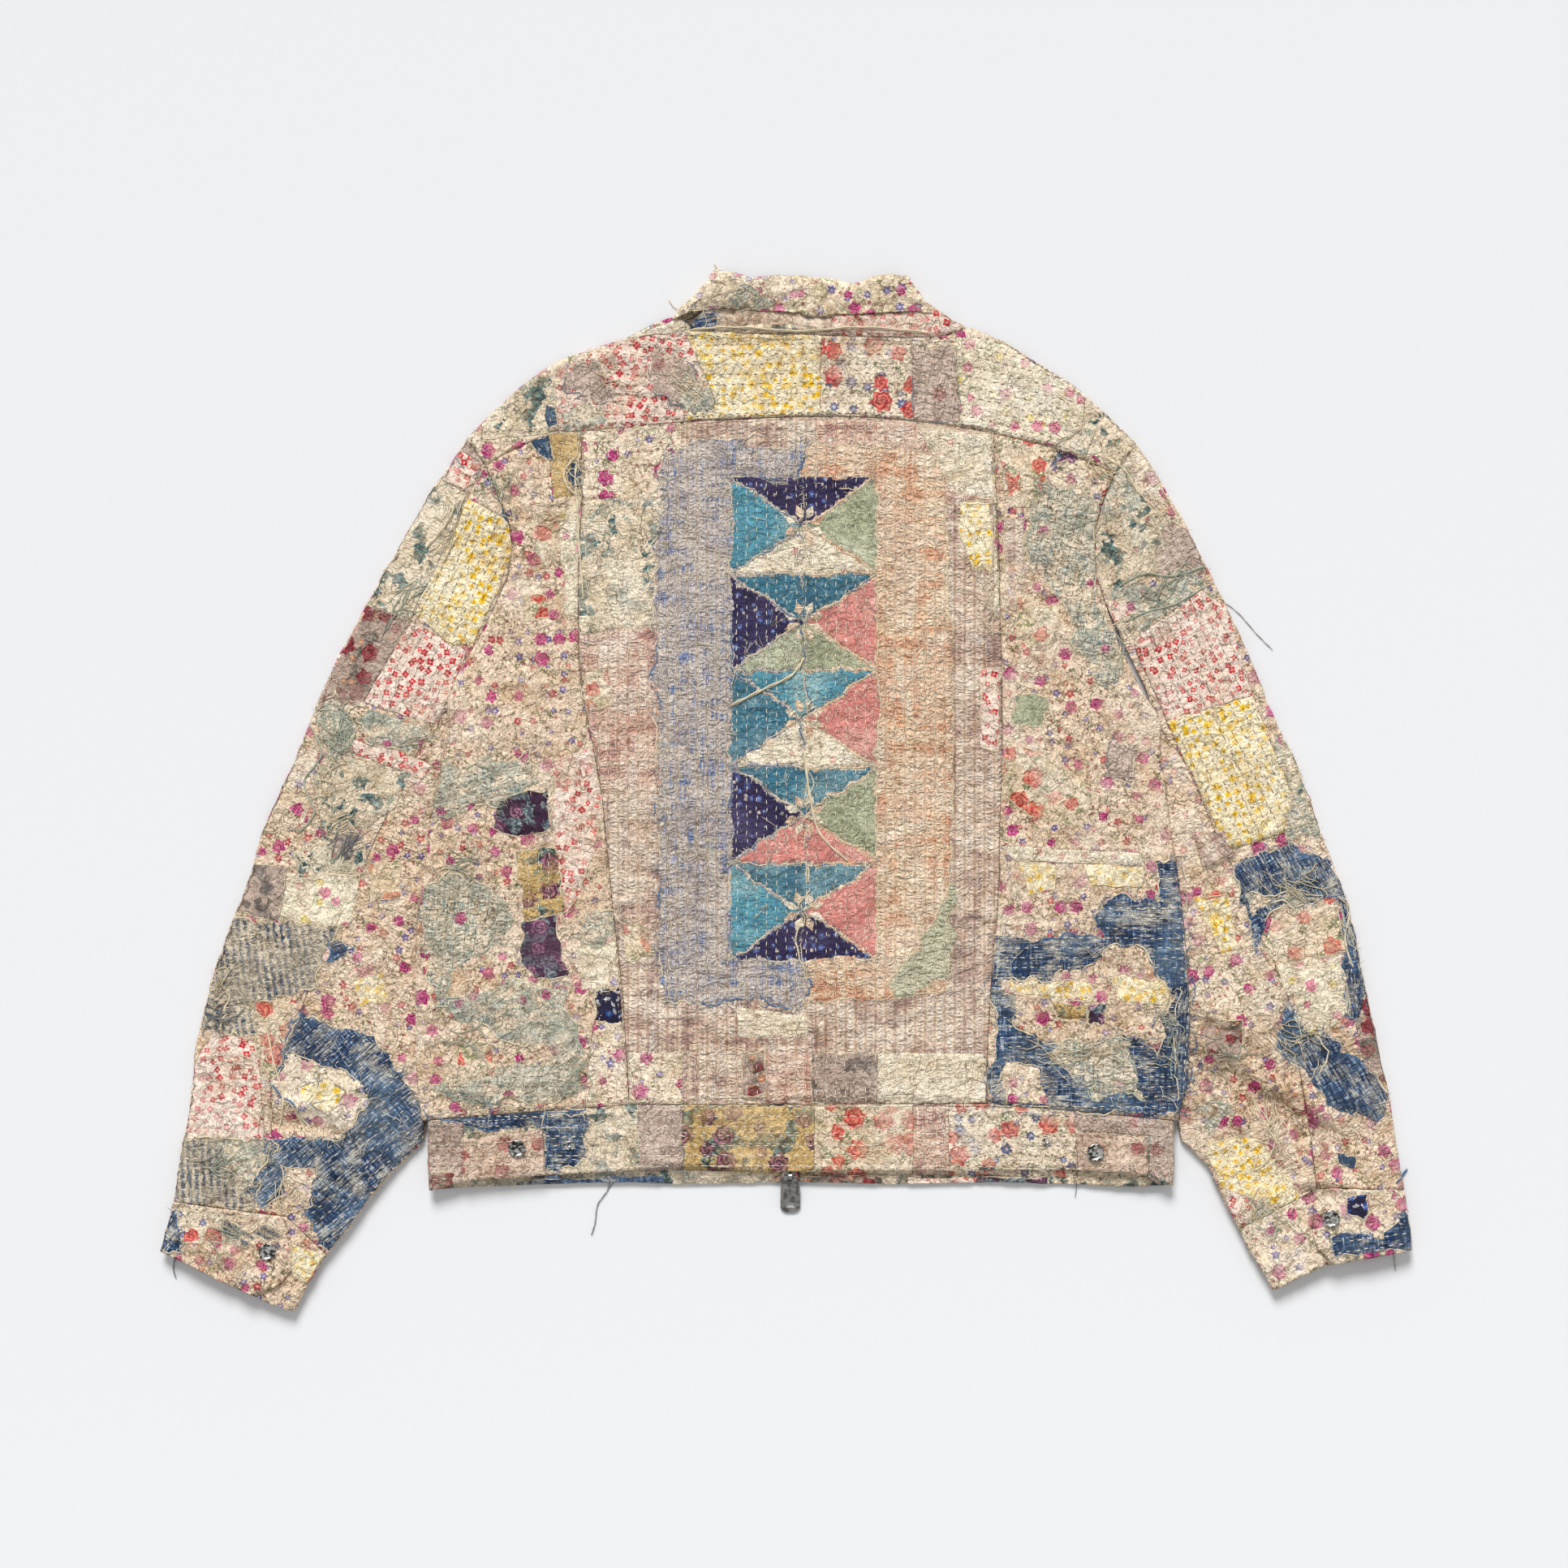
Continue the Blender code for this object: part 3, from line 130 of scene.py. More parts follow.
def printMotif(tree, place, ground, motif, number, rubbed):
    kind, size = motif["kind"], motif["size"]
    moved = add(tree, "VectorMath.ADD", place, (31.7 * number, 17.9 * number, 0))
    if kind == "vine":  # thin stems that wander, with small leaves beside them
        line = add(tree, "TexNoise", moved, 1 / size, 1.5)
        off = add(tree, "Math.SUBTRACT", line, 0.5)
        away = add(tree, "Math.ABSOLUTE", off)
        stem = add(tree, "MapRange", away, motif["width"], motif["width"] * 0.3, 0, 1)
        leaf = motif.get("leaf", 1.5)
        local, chance = scattered(tree, moved, 0.42 / leaf)
        local = add(tree, "VectorMath.MULTIPLY", local, (0.55, 1.3, 1))
        far = add(tree, "VectorMath.LENGTH", local, out=1)
        leafy = add(tree, "MapRange", far, leaf * 0.55, leaf * 0.3, 0, 1)
        beside = add(tree, "MapRange", away, 0.09, 0.05, 0, 1)
        leafy = add(tree, "Math.MULTIPLY", leafy, beside)
        mask = add(tree, "Math.MAXIMUM", stem, leafy)
        broken = add(tree, "TexNoise", moved, 0.6 / size, 0)
        kept = add(tree, "MapRange", broken, 0.38, 0.46, 0, 1)
        mask = add(tree, "Math.MULTIPLY", mask, kept)
        tone = chance[1]
    elif kind == "clump":  # leaves massed together
        mass = add(tree, "TexNoise", moved, 1 / size, 3.5, 0.62)
        cover = motif.get("cover", 0.555)
        mask = add(tree, "MapRange", mass, cover, cover + 0.03, 0, 1)
        tone = add(tree, "TexNoise", moved, 5 / size, 1)
        tone = add(tree, "MapRange", tone, 0.42, 0.6, 0, 1)
    else:
        wobble = add(tree, "TexNoise", moved, 1.6 / size, 1, out=1)
        loose = size * motif.get("drawn", 0.5)
        drawn = add(tree, "VectorMath.MULTIPLY_ADD", wobble, (loose, loose, 0), moved)
        local, chance = scattered(tree, drawn, 1 / motif["every"], motif.get("loose", 0.75))
        axes = add(tree, "SeparateXYZ", local).node
        far = add(tree, "VectorMath.LENGTH", local, out=1)
        if kind in ("leaf", "sprig"):
            along = add(tree, "Math.MULTIPLY", axes.outputs[0], 1 / size)
            square = add(tree, "Math.MULTIPLY", along, along)
            bulge = add(tree, "Math.MULTIPLY_ADD", square, -size * 0.42, size * 0.42)
            if kind == "sprig":  # leaflets in pairs along a stem
                wave = add(tree, "Math.MULTIPLY", axes.outputs[0], 7.5 / size)
                wave = add(tree, "Math.SINE", wave)
                wave = add(tree, "Math.MULTIPLY", wave, wave)
                bulge = add(tree, "Math.MULTIPLY", bulge, wave)
                bulge = add(tree, "Math.ADD", bulge, size * 0.06)
            aside = add(tree, "Math.ABSOLUTE", axes.outputs[1])
            inside = add(tree, "Math.SUBTRACT", bulge, aside)
            inside = add(tree, "MapRange", inside, -0.1, 0.35, 0, 1)
            ends = add(tree, "Math.LESS_THAN", far, size)
            mask = add(tree, "Math.MULTIPLY", inside, ends)
            tone = add(tree, "Math.MULTIPLY_ADD", along, 0.5, 0.5)
        else:
            turn = add(tree, "Math.ARCTAN2", axes.outputs[1], axes.outputs[0])
            petals = motif.get("petals", 5)
            wave = add(tree, "Math.MULTIPLY", turn, petals)
            wave = add(tree, "Math.COSINE", wave)
            deep = 0.1 if kind == "rose" else 0.17
            edge = add(tree, "Math.MULTIPLY_ADD", wave, size * deep, size * (1 - deep))
            grown = add(tree, "MapRange", chance[1], 0, 1, 0.62, 1.15)
            edge = add(tree, "Math.MULTIPLY", edge, grown)
            inside = add(tree, "Math.SUBTRACT", edge, far)
            mask = add(tree, "MapRange", inside, -0.1, 0.25, 0, 1)
            if kind == "rose":  # folded petals show as a swirl of dark and light
                curl = add(tree, "Math.MULTIPLY_ADD", far, 7.5 / size, turn)
                curl = add(tree, "Math.MULTIPLY", curl, 2.0)
                curl = add(tree, "Math.SINE", curl)
                tone = add(tree, "Math.MULTIPLY_ADD", curl, 0.42, 0.36)
            else:
                tone = add(tree, "MapRange", far, size * 0.15, size * 0.42, 1, 0)
        here = add(tree, "Math.LESS_THAN", chance[2], motif.get("share", 1))
        mask = add(tree, "Math.MULTIPLY", mask, here)
    if "gather" in motif:  # only in loose clumps of that size
        clump = add(tree, "TexNoise", moved, 1 / motif["gather"], 1)
        clump = add(tree, "MapRange", clump, 0.49, 0.54, 0, 1)
        mask = add(tree, "Math.MULTIPLY", mask, clump)
    mask = add(tree, "Math.MULTIPLY", mask, rubbed)
    mask = add(tree, "Math.MULTIPLY", mask, motif["strength"])
    dark, light = motif["colours"]
    ink = add(tree, "Mix", tone, hexColour(dark), hexColour(light))
    return add(tree, "Mix", mask, ground, ink)


# Cotton lawn and sheeting, block printed and washed soft: matt, faintly fuzzy, with thin thread flecks
cottons = {
    "roseLawn": cotton("F8E6CD FCF1E0 E0C6A2", 0.5, motifs=[
        printed("vine", 10, "5E6036 8C9460", 0.9, width=0.026, leaf=2.2),
        printed("bloom", 1.7, "B44A62 8A8450", 0.85, every=8.5, share=0.5, petals=4),
        printed("bloom", 3.6, "62559E CCC2E0", 0.9, every=16, share=0.42),
        printed("rose", 6.2, "A8125E E47AAE", 1.0, every=21, share=0.72, loose=0.6, petals=6)]),
    "ditsyLawn": cotton("F5DEC3 FAEBD8 D4B28C", 0.7, motifs=[
        printed("vine", 8, "58582F 8E8C5A", 0.9, width=0.03, leaf=1.9),
        printed("bloom", 1.6, "A8505A 7C7A48", 0.85, every=7.2, share=0.5, petals=4),
        printed("bloom", 3.2, "645698 C4B8DA", 0.9, every=13, share=0.42),
        printed("bloom", 3.4, "C23A4C F0AC96", 0.9, every=16, share=0.42),
        printed("rose", 5.8, "AC1462 E27CAE", 1.0, every=20, share=0.62, petals=6)]),
    "redBlossom": cotton("F8E2D2 F9ECDE E6CBB2", 0.3, motifs=[
        printed("leaf", 1.6, "94A084 C2C3A5", 0.5, every=7.0, share=0.3),
        printed("bloom", 3.1, "D62A3A F4B4A6", 1.0, every=7.8, share=0.97, loose=0.8, petals=4, drawn=0.3)]),
    "yellowBlossom": cotton("FDEFCB FDF4DA F4E0B0", 0.4, creases=0.75, motifs=[
        printed("leaf", 1.7, "6A5A50 9A8C74", 0.75, every=5.6, share=0.45),
        printed("bloom", 3.3, "FAD02A EDA810", 1.0, every=7.8, share=0.9, loose=0.75, petals=6, drawn=0.3)]),
    "tealLeaf": cotton("F2E1C6 F7EDD9 D2BE9A", 0.5, motifs=[
        printed("vine", 8, "7A8870 A7AE93", 0.7, width=0.024, leaf=1.8),
        printed("sprig", 6.0, "5F827E 9DB0A2", 0.75, every=14, share=0.55),
        printed("clump", 19, "1F434C 5C8A8A", 0.95)]),
    # dark teal leaves printed closer together
    "tealSpray": cotton("E6DAC0 F1E6D0 B9B298", 0.5, motifs=[
        printed("clump", 11, "1F434C 4C7C80", 0.95),
        printed("bloom", 3.0, "B23A54 DC8C84", 0.9, every=12, share=0.5)]),
    "paleSprig": cotton("F9ECD2 FCF4E4 EAD9BA", 0.45, creases=0.8, motifs=[
        printed("vine", 9, "7E9668 B3BE9B", 0.75, width=0.026, leaf=1.8),
        printed("bloom", 3.6, "E8CE52 F4E9AA", 0.85, every=14, share=0.4),
        printed("rose", 5.0, "D44A7A F2B4C4", 0.9, every=17, share=0.62, petals=5)]),
    "maroonFloral": cotton("C0A99A D2BFAF 9C877C", 0.5, motifs=[
        printed("clump", 26, "4E4A46 8A8678", 0.85),
        printed("bloom", 3.0, "E58A4D F4D9B4", 0.85, every=11, share=0.5),
        printed("rose", 7.4, "6B1226 B8404A", 0.95, every=19, share=0.72, petals=5)]),
    "plumFloral": cotton("402640 74506A 2C1A2C", 0.4, rubs=0.5, motifs=[
        printed("clump", 14, "4E6470 9CACAA", 0.9, cover=0.5),
        printed("rose", 7.6, "7A3A62 E4B4C6", 0.95, every=17, share=0.85, petals=7)]),
    "ochreCloth": cotton("D9BC86 E6CFA2 B8955A", 0.6, motifs=[
        printed("vine", 14, "A98A52 C09F62", 0.4, width=0.008)]),
    "ochreLeaf": cotton("D4B57A E2C898 B59458", 0.5, motifs=[
        printed("clump", 22, "2B444A 7C9A94", 0.95, cover=0.53),
        printed("rose", 8.4, "3B1C38 C07C92", 0.98, every=20, share=0.66, petals=7)]),
    "navyFloral": cotton("272446 37355A 1C1A34", 0.4, motifs=[
        printed("leaf", 3.2, "C9CFDC EDEBE2", 0.9, every=8, share=0.6),
        printed("bloom", 4.6, "2F62C4 8FB4E8", 0.95, every=12, share=0.6, petals=5)]),
    "coralRose": cotton("F4E0C4 F9EDD8 D8BC96", 0.5, motifs=[
        printed("vine", 11, "686C3C 9AA066", 0.8, width=0.022, leaf=2.4),
        printed("sprig", 7.5, "5C7044 A3A673", 0.85, every=15, share=0.7),
        printed("rose", 8.8, "CC2C3A F4A07C", 0.95, every=22, share=0.85, petals=6)]),
    "redBlueFloral": cotton("F8E8D0 FBF0DE DCC29E", 0.5, motifs=[
        printed("vine", 10, "4F6640 88946A", 0.85, width=0.022, leaf=2.2),
        printed("bloom", 4.6, "46558E B4BCD6", 0.9, every=15, share=0.6, petals=7),
        printed("rose", 8.4, "C42A38 F4907A", 0.96, every=24, share=0.75, petals=6)]),
    "mauveCloth": cotton("D4BFB0 E4D2C2 AD988E", 0.8, motifs=[
        printed("vine", 12, "94807A A98F84", 0.6, width=0.02, leaf=2),
        printed("rose", 7, "A84A54 D09A90", 0.6, every=30, share=0.5, petals=5)]),
    "mauveLeaf": cotton("C2AD9E D4C2B3 9C8A80", 0.5, motifs=[
        printed("clump", 24, "5A5450 857F79", 0.85)]),
    "tabCotton": cotton("E9CFBA F2E0CE C2A492", 0.5, motifs=[
        printed("vine", 9, "7E8260 A9AB84", 0.7, width=0.02, leaf=1.6),
        printed("rose", 6.4, "8E2A36 D07A78", 0.85, every=19, share=0.6, petals=6)]),
    "collarCotton": cotton("F8E7CC FBF0DE DCC8A4", 0.3, motifs=[
        printed("vine", 9, "5E6C38 98A86C", 0.85, width=0.026, leaf=2.2),
        printed("bloom", 1.7, "C23A64 7C8448", 0.9, every=7.6, share=0.5, petals=4),
        printed("bloom", 3.8, "5C54A8 C2BCE4", 0.9, every=15, share=0.5, petals=6),
        printed("rose", 5.2, "BE126E EE96C4", 1.0, every=17, share=0.66, petals=5)]),
    "creamCloth": cotton("F6EAD2 FAF2E2 E0CDA8", 0.6, motifs=[
        printed("vine", 11, "A8A07C C5BE9C", 0.5, width=0.012, leaf=1.4),
        printed("bloom", 3.2, "C9505A E8A592", 0.5, every=18, share=0.4)]),
    "palePink": cotton("E8D2BC F2E2D0 BFA58C", 0.5, motifs=[
        printed("vine", 12, "A89680 BFAE98", 0.5, width=0.014, leaf=1.6)]),
    "navyDot": cotton("332A50 5A5074 241C3C", 0.5, fade=0.85, rubs=0.75, motifs=[
        printed("bloom", 2.8, "5C78BE A8BCE0", 0.8, every=8.5, share=0.5, petals=5),
        printed("bloom", 1.6, "E7D9C6 F2E9DA", 0.8, every=9.5, share=0.5, petals=4)]),
    "tealCloth": cotton("3C7389 7FA3AC 2B556C", 0.5, fade=0.85, rubs=0.8, motifs=[
        printed("vine", 9, "86B2BE B4D0D2", 0.6, width=0.03, leaf=2)]),
    "inkCloth": cotton("36506E 7189A0 28384E", 0.5, rubs=0.7, motifs=[
        printed("vine", 9, "8EA0AC C2C8C4", 0.6, width=0.03, leaf=2)]),
    "turquoiseCloth": cotton("5C9EB0 9CC2C4 3E7C94", 0.6, fade=0.85, rubs=0.8, motifs=[
        printed("vine", 7, "336E92 3A62A0", 0.55, width=0.035, leaf=2)]),
    "salmonJacquard": cotton("DB8C82 E8B4A6 C2706A", 0.4, fade=0.85, rubs=0.8, motifs=[
        printed("vine", 6.5, "F0BCAC F5D8C6", 0.7, width=0.045, leaf=2)]),
    "paleSage": cotton("CBCCAF DCD8BE B4B296", 1.1, rows=0.35, creases=0.4, motifs=[
        printed("vine", 12, "98A088 B4B89C", 0.5, width=0.014, leaf=1.6)]),
    "sageCotton": cotton("B4B898 CDCFB4 909678", 0.5, fade=0.85, rubs=0.6, motifs=[
        printed("leaf", 3.4, "66705A 8C9676", 0.6, every=9, share=0.7)]),
}


def sharpFolds(tree, place, stretch, width):  # thin broken lines where worn cloth folds sharply, 0 to 1
    pulled = add(tree, "VectorMath.MULTIPLY", place, (*stretch, 1))
    lie = add(tree, "TexNoise", pulled, 1, 2.2, links={"Distortion": 0.5})
    off = add(tree, "Math.SUBTRACT", lie, 0.5)
    off = add(tree, "Math.ABSOLUTE", off)
    line = add(tree, "MapRange", off, 0.0, width, 1, 0)
    moved = add(tree, "VectorMath.ADD", pulled, (41, 23, 0))
    gaps = add(tree, "TexNoise", moved, 0.55, 1)
    gaps = add(tree, "MapRange", gaps, 0.4, 0.56, 0.1, 1)
    return add(tree, "Math.MULTIPLY", line, gaps)


def washedSurface(tree, place, colour, look):
    # wear common to every cloth here: faded blotches, stains, thread flecks, puckers and creases; and
    # painted shade in the creases, ripple hollows and rows of stitches
    pucker = look["pucker"]
    faded = add(tree, "TexNoise", place, 0.021, 3)
    faded = add(tree, "MapRange", faded, 0.46, 0.68, 0, look.get("fade", 0.55))
    colour = add(tree, "Mix", faded, colour, hexColour(look["worn"]))
    moved = add(tree, "VectorMath.ADD", place, (211, 57, 0))
    stained = add(tree, "TexNoise", moved, 0.04, 4, 0.6)
    stained = add(tree, "MapRange", stained, 0.47, 0.7, 0, 0.62)
    colour = add(tree, "Mix", stained, colour, hexColour(look["stain"]))
    # thread is 0.3 mm thick; its flecks are drawn at 1 to 2 mm so that they show
    across = add(tree, "VectorMath.MULTIPLY", place, (0.3, 1.1, 1))
    fleck = add(tree, "TexNoise", across, 1.0, 1)
    along = add(tree, "VectorMath.MULTIPLY", place, (1.1, 0.3, 1))
    fleckTwo = add(tree, "TexNoise", along, 1.0, 1)
    fleck = add(tree, "Math.ADD", fleck, fleckTwo)
    fleck = add(tree, "MapRange", fleck, 0.72, 1.28, 0.8, 1.2)
    colour = add(tree, "VectorMath.SCALE", colour, links={"Scale": fleck})
    # rows of stitches pull the cloth down; between two rows it ripples, each row out of step
    axes = add(tree, "SeparateXYZ", place).node
    row = add(tree, "Math.MULTIPLY", axes.outputs[1], 2 * math.pi / rowGap)
    row = add(tree, "Math.COSINE", row)
    between = add(tree, "MapRange", row, 0.8, -0.6, 0, 1)
    count = add(tree, "Math.MULTIPLY", axes.outputs[1], 1 / rowGap)
    count = add(tree, "Math.FLOOR", count)
    slid = add(tree, "Math.MULTIPLY_ADD", count, 1.7, axes.outputs[0])
    shaken = add(tree, "TexNoise", place, 0.09, 2)
    wave = add(tree, "Math.MULTIPLY", shaken, 26)
    wave = add(tree, "Math.MULTIPLY_ADD", slid, 2 * math.pi / rippleWidth, wave)
    wave = add(tree, "Math.SINE", wave)
    wave = add(tree, "Math.MULTIPLY", wave, between)
    ripple = add(tree, "VectorMath.MULTIPLY", place, (0.3, 0.12, 1))
    ripple = add(tree, "TexNoise", ripple, 1, 1.5)
    crumple = add(tree, "TexNoise", place, 0.12, 3, links={"Distortion": 0.8})
    folds = sharpFolds(tree, place, (0.075, 0.12), 0.02)
    small = sharpFolds(tree, place, (0.24, 0.17), 0.035)
    height = add(tree, "Math.MULTIPLY", ripple, look.get("ripple", pucker * 3.0))
    height = add(tree, "Math.MULTIPLY_ADD", wave, 0.4 * pucker, height)
    height = add(tree, "Math.MULTIPLY_ADD", row, -0.2 * pucker, height)
    height = add(tree, "Math.MULTIPLY_ADD", crumple, 3.6, height)
    height = add(tree, "Math.MULTIPLY_ADD", folds, -0.85 * look.get("creases", 1), height)
    height = add(tree, "Math.MULTIPLY_ADD", small, -0.45, height)
    height = add(tree, "Math.MULTIPLY_ADD", fleck, 0.4, height)
    rubs = look.get("rubs", 0)
    if rubs:  # a dark cloth wears pale along its creases
        crest = add(tree, "Math.MAXIMUM", small, folds)
        crest = add(tree, "Math.MULTIPLY", crest, rubs)
        colour = add(tree, "Mix", crest, colour, hexColour(look["worn"]))
    # painted shade, mixed with dirt, darkens the creases, the hollows between ripples and the rows of
    # stitches
    hollow = add(tree, "MapRange", wave, -0.1, -0.9, 0, 0.3 * pucker)
    trough = add(tree, "MapRange", row, 0.2, 1.0, 0, look.get("rows", 0.14))
    hollow = add(tree, "Math.ADD", hollow, trough)
    # darkening stored on each point: painted shade in the troughs and under the collar fall, and grey-brown
    # handling
    soilAndShade = add(tree, "Attribute", out=2, attribute_name="soilAndShade")
    moved = add(tree, "VectorMath.ADD", place, (17, 331, 0))
    uneven = add(tree, "TexNoise", moved, 0.16, 3)
    uneven = add(tree, "MapRange", uneven, 0.32, 0.68, 0.1, 1.5)
    soilAndShade = add(tree, "Math.MULTIPLY", soilAndShade, uneven)
    hollow = add(tree, "Math.MULTIPLY_ADD", soilAndShade, 0.5, hollow)
    creases = look.get("creases", 1)
    deep = add(tree, "Math.MULTIPLY_ADD", folds, (0.7 - 0.6 * rubs) * creases, hollow)
    deep = add(tree, "Math.MULTIPLY_ADD", small, 0.36 * (1 - rubs) * creases, deep, use_clamp=True)
    # the darkened colour for creases and hollows: painted shade, browned like dirt
    soiledAndShaded = add(tree, "VectorMath.MULTIPLY", colour, (0.50, 0.38, 0.28))
    colour = add(tree, "Mix", deep, colour, soiledAndShaded)
    bump = add(tree, "Bump", height, 1.0, mm)
    shader = add(tree, "BsdfPrincipled", links={
        "Base Color": colour, "Roughness": 0.88, "IOR": 1.5, "Specular IOR Level": 0.22,
        "Sheen Weight": 0.12, "Sheen Roughness": 0.5, "Normal": bump})
    finishMaterial(tree, shader)


def rubbedPrint(tree, place):  # where the ink still holds, 0.72 to 1
    moved = add(tree, "VectorMath.ADD", place, (83, 149, 0))
    rubbed = add(tree, "TexNoise", moved, 0.3, 4, 0.65)
    return add(tree, "MapRange", rubbed, 0.33, 0.44, 0.72, 1)


def printedCotton(name):
    look = cottons[name]
    material, tree = newMaterial(name)
    place = add(tree, "Attribute", out=1, attribute_name="cut")
    rubbed = rubbedPrint(tree, place)
    colour = hexColour(look["ground"])
    for number, motif in enumerate(look["motifs"]):
        colour = printMotif(tree, place, colour, motif, number + 1, rubbed)
    washedSurface(tree, place, colour, look)
    return material


# Yarn-dyed cloths: the colour is in the thread, so wear shows as streaks along it
wovens = {
    # cotton twill jeans cloth, indigo warp, ring dyed: pale where rubbed, white weft in the holes
    "denimTwill": dict(streaks=[("162746", 0.0), ("274169", 0.42), ("3E5D87", 0.64), ("A8B6C0", 0.92)],
                       warp=(0.5, 0.07), weft=(0.05, 0.42), thread="DAD5C4", threadShare=0.4,
                       worn="6E8CA9", stain="1A2B4B", pucker=0.8, fade=0.5, rubs=0.3),
    # loose cotton gauze, vat dyed grey green, worn to its threads over a printed lawn
    "sageGauze": dict(streaks=[("8E9C98", 0.0), ("B0B8AC", 0.36), ("CBCCBC", 0.54), ("EADFCA", 0.76)],
                      warp=(0.45, 0.08), weft=(0.07, 0.45), thread="EADFC6", threadShare=0.6,
                      worn="E0D9C6", stain="A2A89A", pucker=0.9, fade=0.5, holes="F2DFC4", motifs=[
        printed("vine", 8, "66643E 96906A", 0.85, width=0.024, leaf=1.6, gather=40),
        printed("rose", 5.0, "AC2468 DC84AC", 0.9, every=26, share=0.6, petals=6, gather=34)]),
    # ticking stripe, yarn dyed blue on ecru, brushed and broken by wear
    "ticking": dict(streaks=[("E4D6BC", 0.0), ("D4C6AE", 0.4), ("BCB2A0", 0.7), ("A29C92", 0.9)],
                    warp=(0.3, 0.05), weft=(0.05, 0.5), thread="E3D5BA", threadShare=0.5, stripe=5.6,
                    stripeColour="3A5270", worn="D8CDB8", stain="A29686", pucker=0.9, fade=0.4),
    # madras check, mauve and ecru cotton, quilted with white thread
    "mauveCheck": dict(streaks=[("F3E2CE", 0.0), ("EAD3BE", 0.42), ("D4B6A4", 0.6), ("AE928A", 0.84)],
                       warp=(0.09, 0.016), weft=(0.008, 0.11), thread="F4EADA", threadShare=0.42,
                       worn="F3E5D2", stain="CCAE9C", pucker=1.2, fade=0.6,
                       rows=0.55, creases=0.3, ripple=2.0),
    "pinkCheck": dict(streaks=[("F1DAC6", 0.0), ("EBCBB6", 0.42), ("D8AC9C", 0.6), ("BC8C82", 0.84)],
                      warp=(0.11, 0.012), weft=(0.012, 0.1), thread="F5E9DA", threadShare=0.4,
                      worn="F5E5D4", stain="D2AE9A", pucker=1.2, fade=0.5,
                      rows=0.55, creases=0.3, ripple=2.0),
    # thin gauze, piece dyed lavender grey, in plain stripes of pale and deep thread
    "lavenderGauze": dict(streaks=[("BCB4AE", 0.0), ("D0C6BC", 0.4), ("AEACB2", 0.6), ("7B90BC", 0.86)],
                          warp=(0.13, 0.03), weft=(0.02, 0.3), thread="E2D6CA", threadShare=0.5,
                          worn="DCD0C4", stain="A49CA2", pucker=1.15, fade=0.6,
                          rows=0.55, creases=0.3, ripple=2.0),
    "peachGauze": dict(streaks=[("F2D4B2", 0.0), ("F6DEC0", 0.42), ("F0C09A", 0.62), ("E0A888", 0.85)],
                       warp=(0.11, 0.015), weft=(0.012, 0.13), thread="F6E8D2", threadShare=0.42,
                       worn="F6E6CE", stain="DAB698", pucker=1.2, fade=0.55,
                       rows=0.5, creases=0.25, ripple=2.0),
}


def yarnDyedCloth(name):
    look = wovens[name]
    material, tree = newMaterial(name)
    place = add(tree, "Attribute", out=1, attribute_name="cut")
    tones = []
    for stretch, shift in ((look["warp"], 0), (look["weft"], 90)):
        moved = add(tree, "VectorMath.ADD", place, (shift, shift, 0))
        pulled = add(tree, "VectorMath.MULTIPLY", moved, (*stretch, 1))
        tones.append(add(tree, "TexNoise", pulled, 1, 2.5))
    tone = add(tree, "Math.ADD", tones[0], tones[1])
    tone = add(tree, "MapRange", tone, 0.74, 1.3, 0, 1)
    colour = add(tree, "ValToRGB", tone, stops=[(spot, shade) for shade, spot in look["streaks"]])
    if "stripe" in look:
        axes = add(tree, "SeparateXYZ", place).node
        wave = add(tree, "Math.MULTIPLY", axes.outputs[0], 2 * math.pi / look["stripe"])
        shaken = add(tree, "TexNoise", place, 0.2, 3)
        wave = add(tree, "Math.MULTIPLY_ADD", shaken, 5.0, wave)
        wave = add(tree, "Math.SINE", wave)
        wave = add(tree, "Math.MULTIPLY_ADD", tones[1], -2.6, wave)
        wave = add(tree, "MapRange", wave, -1.5, -0.8, 0, 0.95)
        colour = add(tree, "Mix", wave, colour, hexColour(look["stripeColour"]))
    # bared threads, in dashes that run with the weft
    dashes = add(tree, "VectorMath.MULTIPLY", place, (0.09, 0.75, 1))
    dashes = add(tree, "TexNoise", dashes, 1, 2)
    area = add(tree, "TexNoise", place, 0.045, 3)
    bare = add(tree, "Math.MULTIPLY_ADD", area, 1.2, dashes)
    bare = add(tree, "MapRange", bare, 1.28 - look["threadShare"] * 0.5, 1.38, 0, 0.85)
    colour = add(tree, "Mix", bare, colour, hexColour(look["thread"]))
    if "holes" in look:  # worn through to the print beneath
        moved = add(tree, "VectorMath.ADD", place, (61, 9, 0))
        moved = add(tree, "VectorMath.MULTIPLY", moved, (0.05, 0.1, 1))
        hole = add(tree, "TexNoise", moved, 1, 4, 0.65)
        hole = add(tree, "MapRange", hole, 0.5, 0.55, 0, 0.9)
        colour = add(tree, "Mix", hole, colour, hexColour(look["holes"]))
    for number, motif in enumerate(look.get("motifs", [])):  # a print showing through
        colour = printMotif(tree, place, colour, motif, number + 1, rubbedPrint(tree, place))
    washedSurface(tree, place, colour, look)
    return material


cloths = {name: printedCotton(name) for name in cottons}
cloths.update({name: yarnDyedCloth(name) for name in wovens})
print("cloth materials:", len(cloths))

# Spun cotton sewing thread and ravelled yarn: soft, hairy, no shine
threadShades = {"whiteThread": ("F8F2E4", "E4DAC6"), "darkThread": ("54443E", "7C6A60"),
                "ecruYarn": ("EBDEC4", "CDBC9A"), "blueYarn": ("6C8DB0", "33507C"),
                "sageYarn": ("BFC2AE", "969F90"), "greyYarn": ("8F9296", "6F7478")}


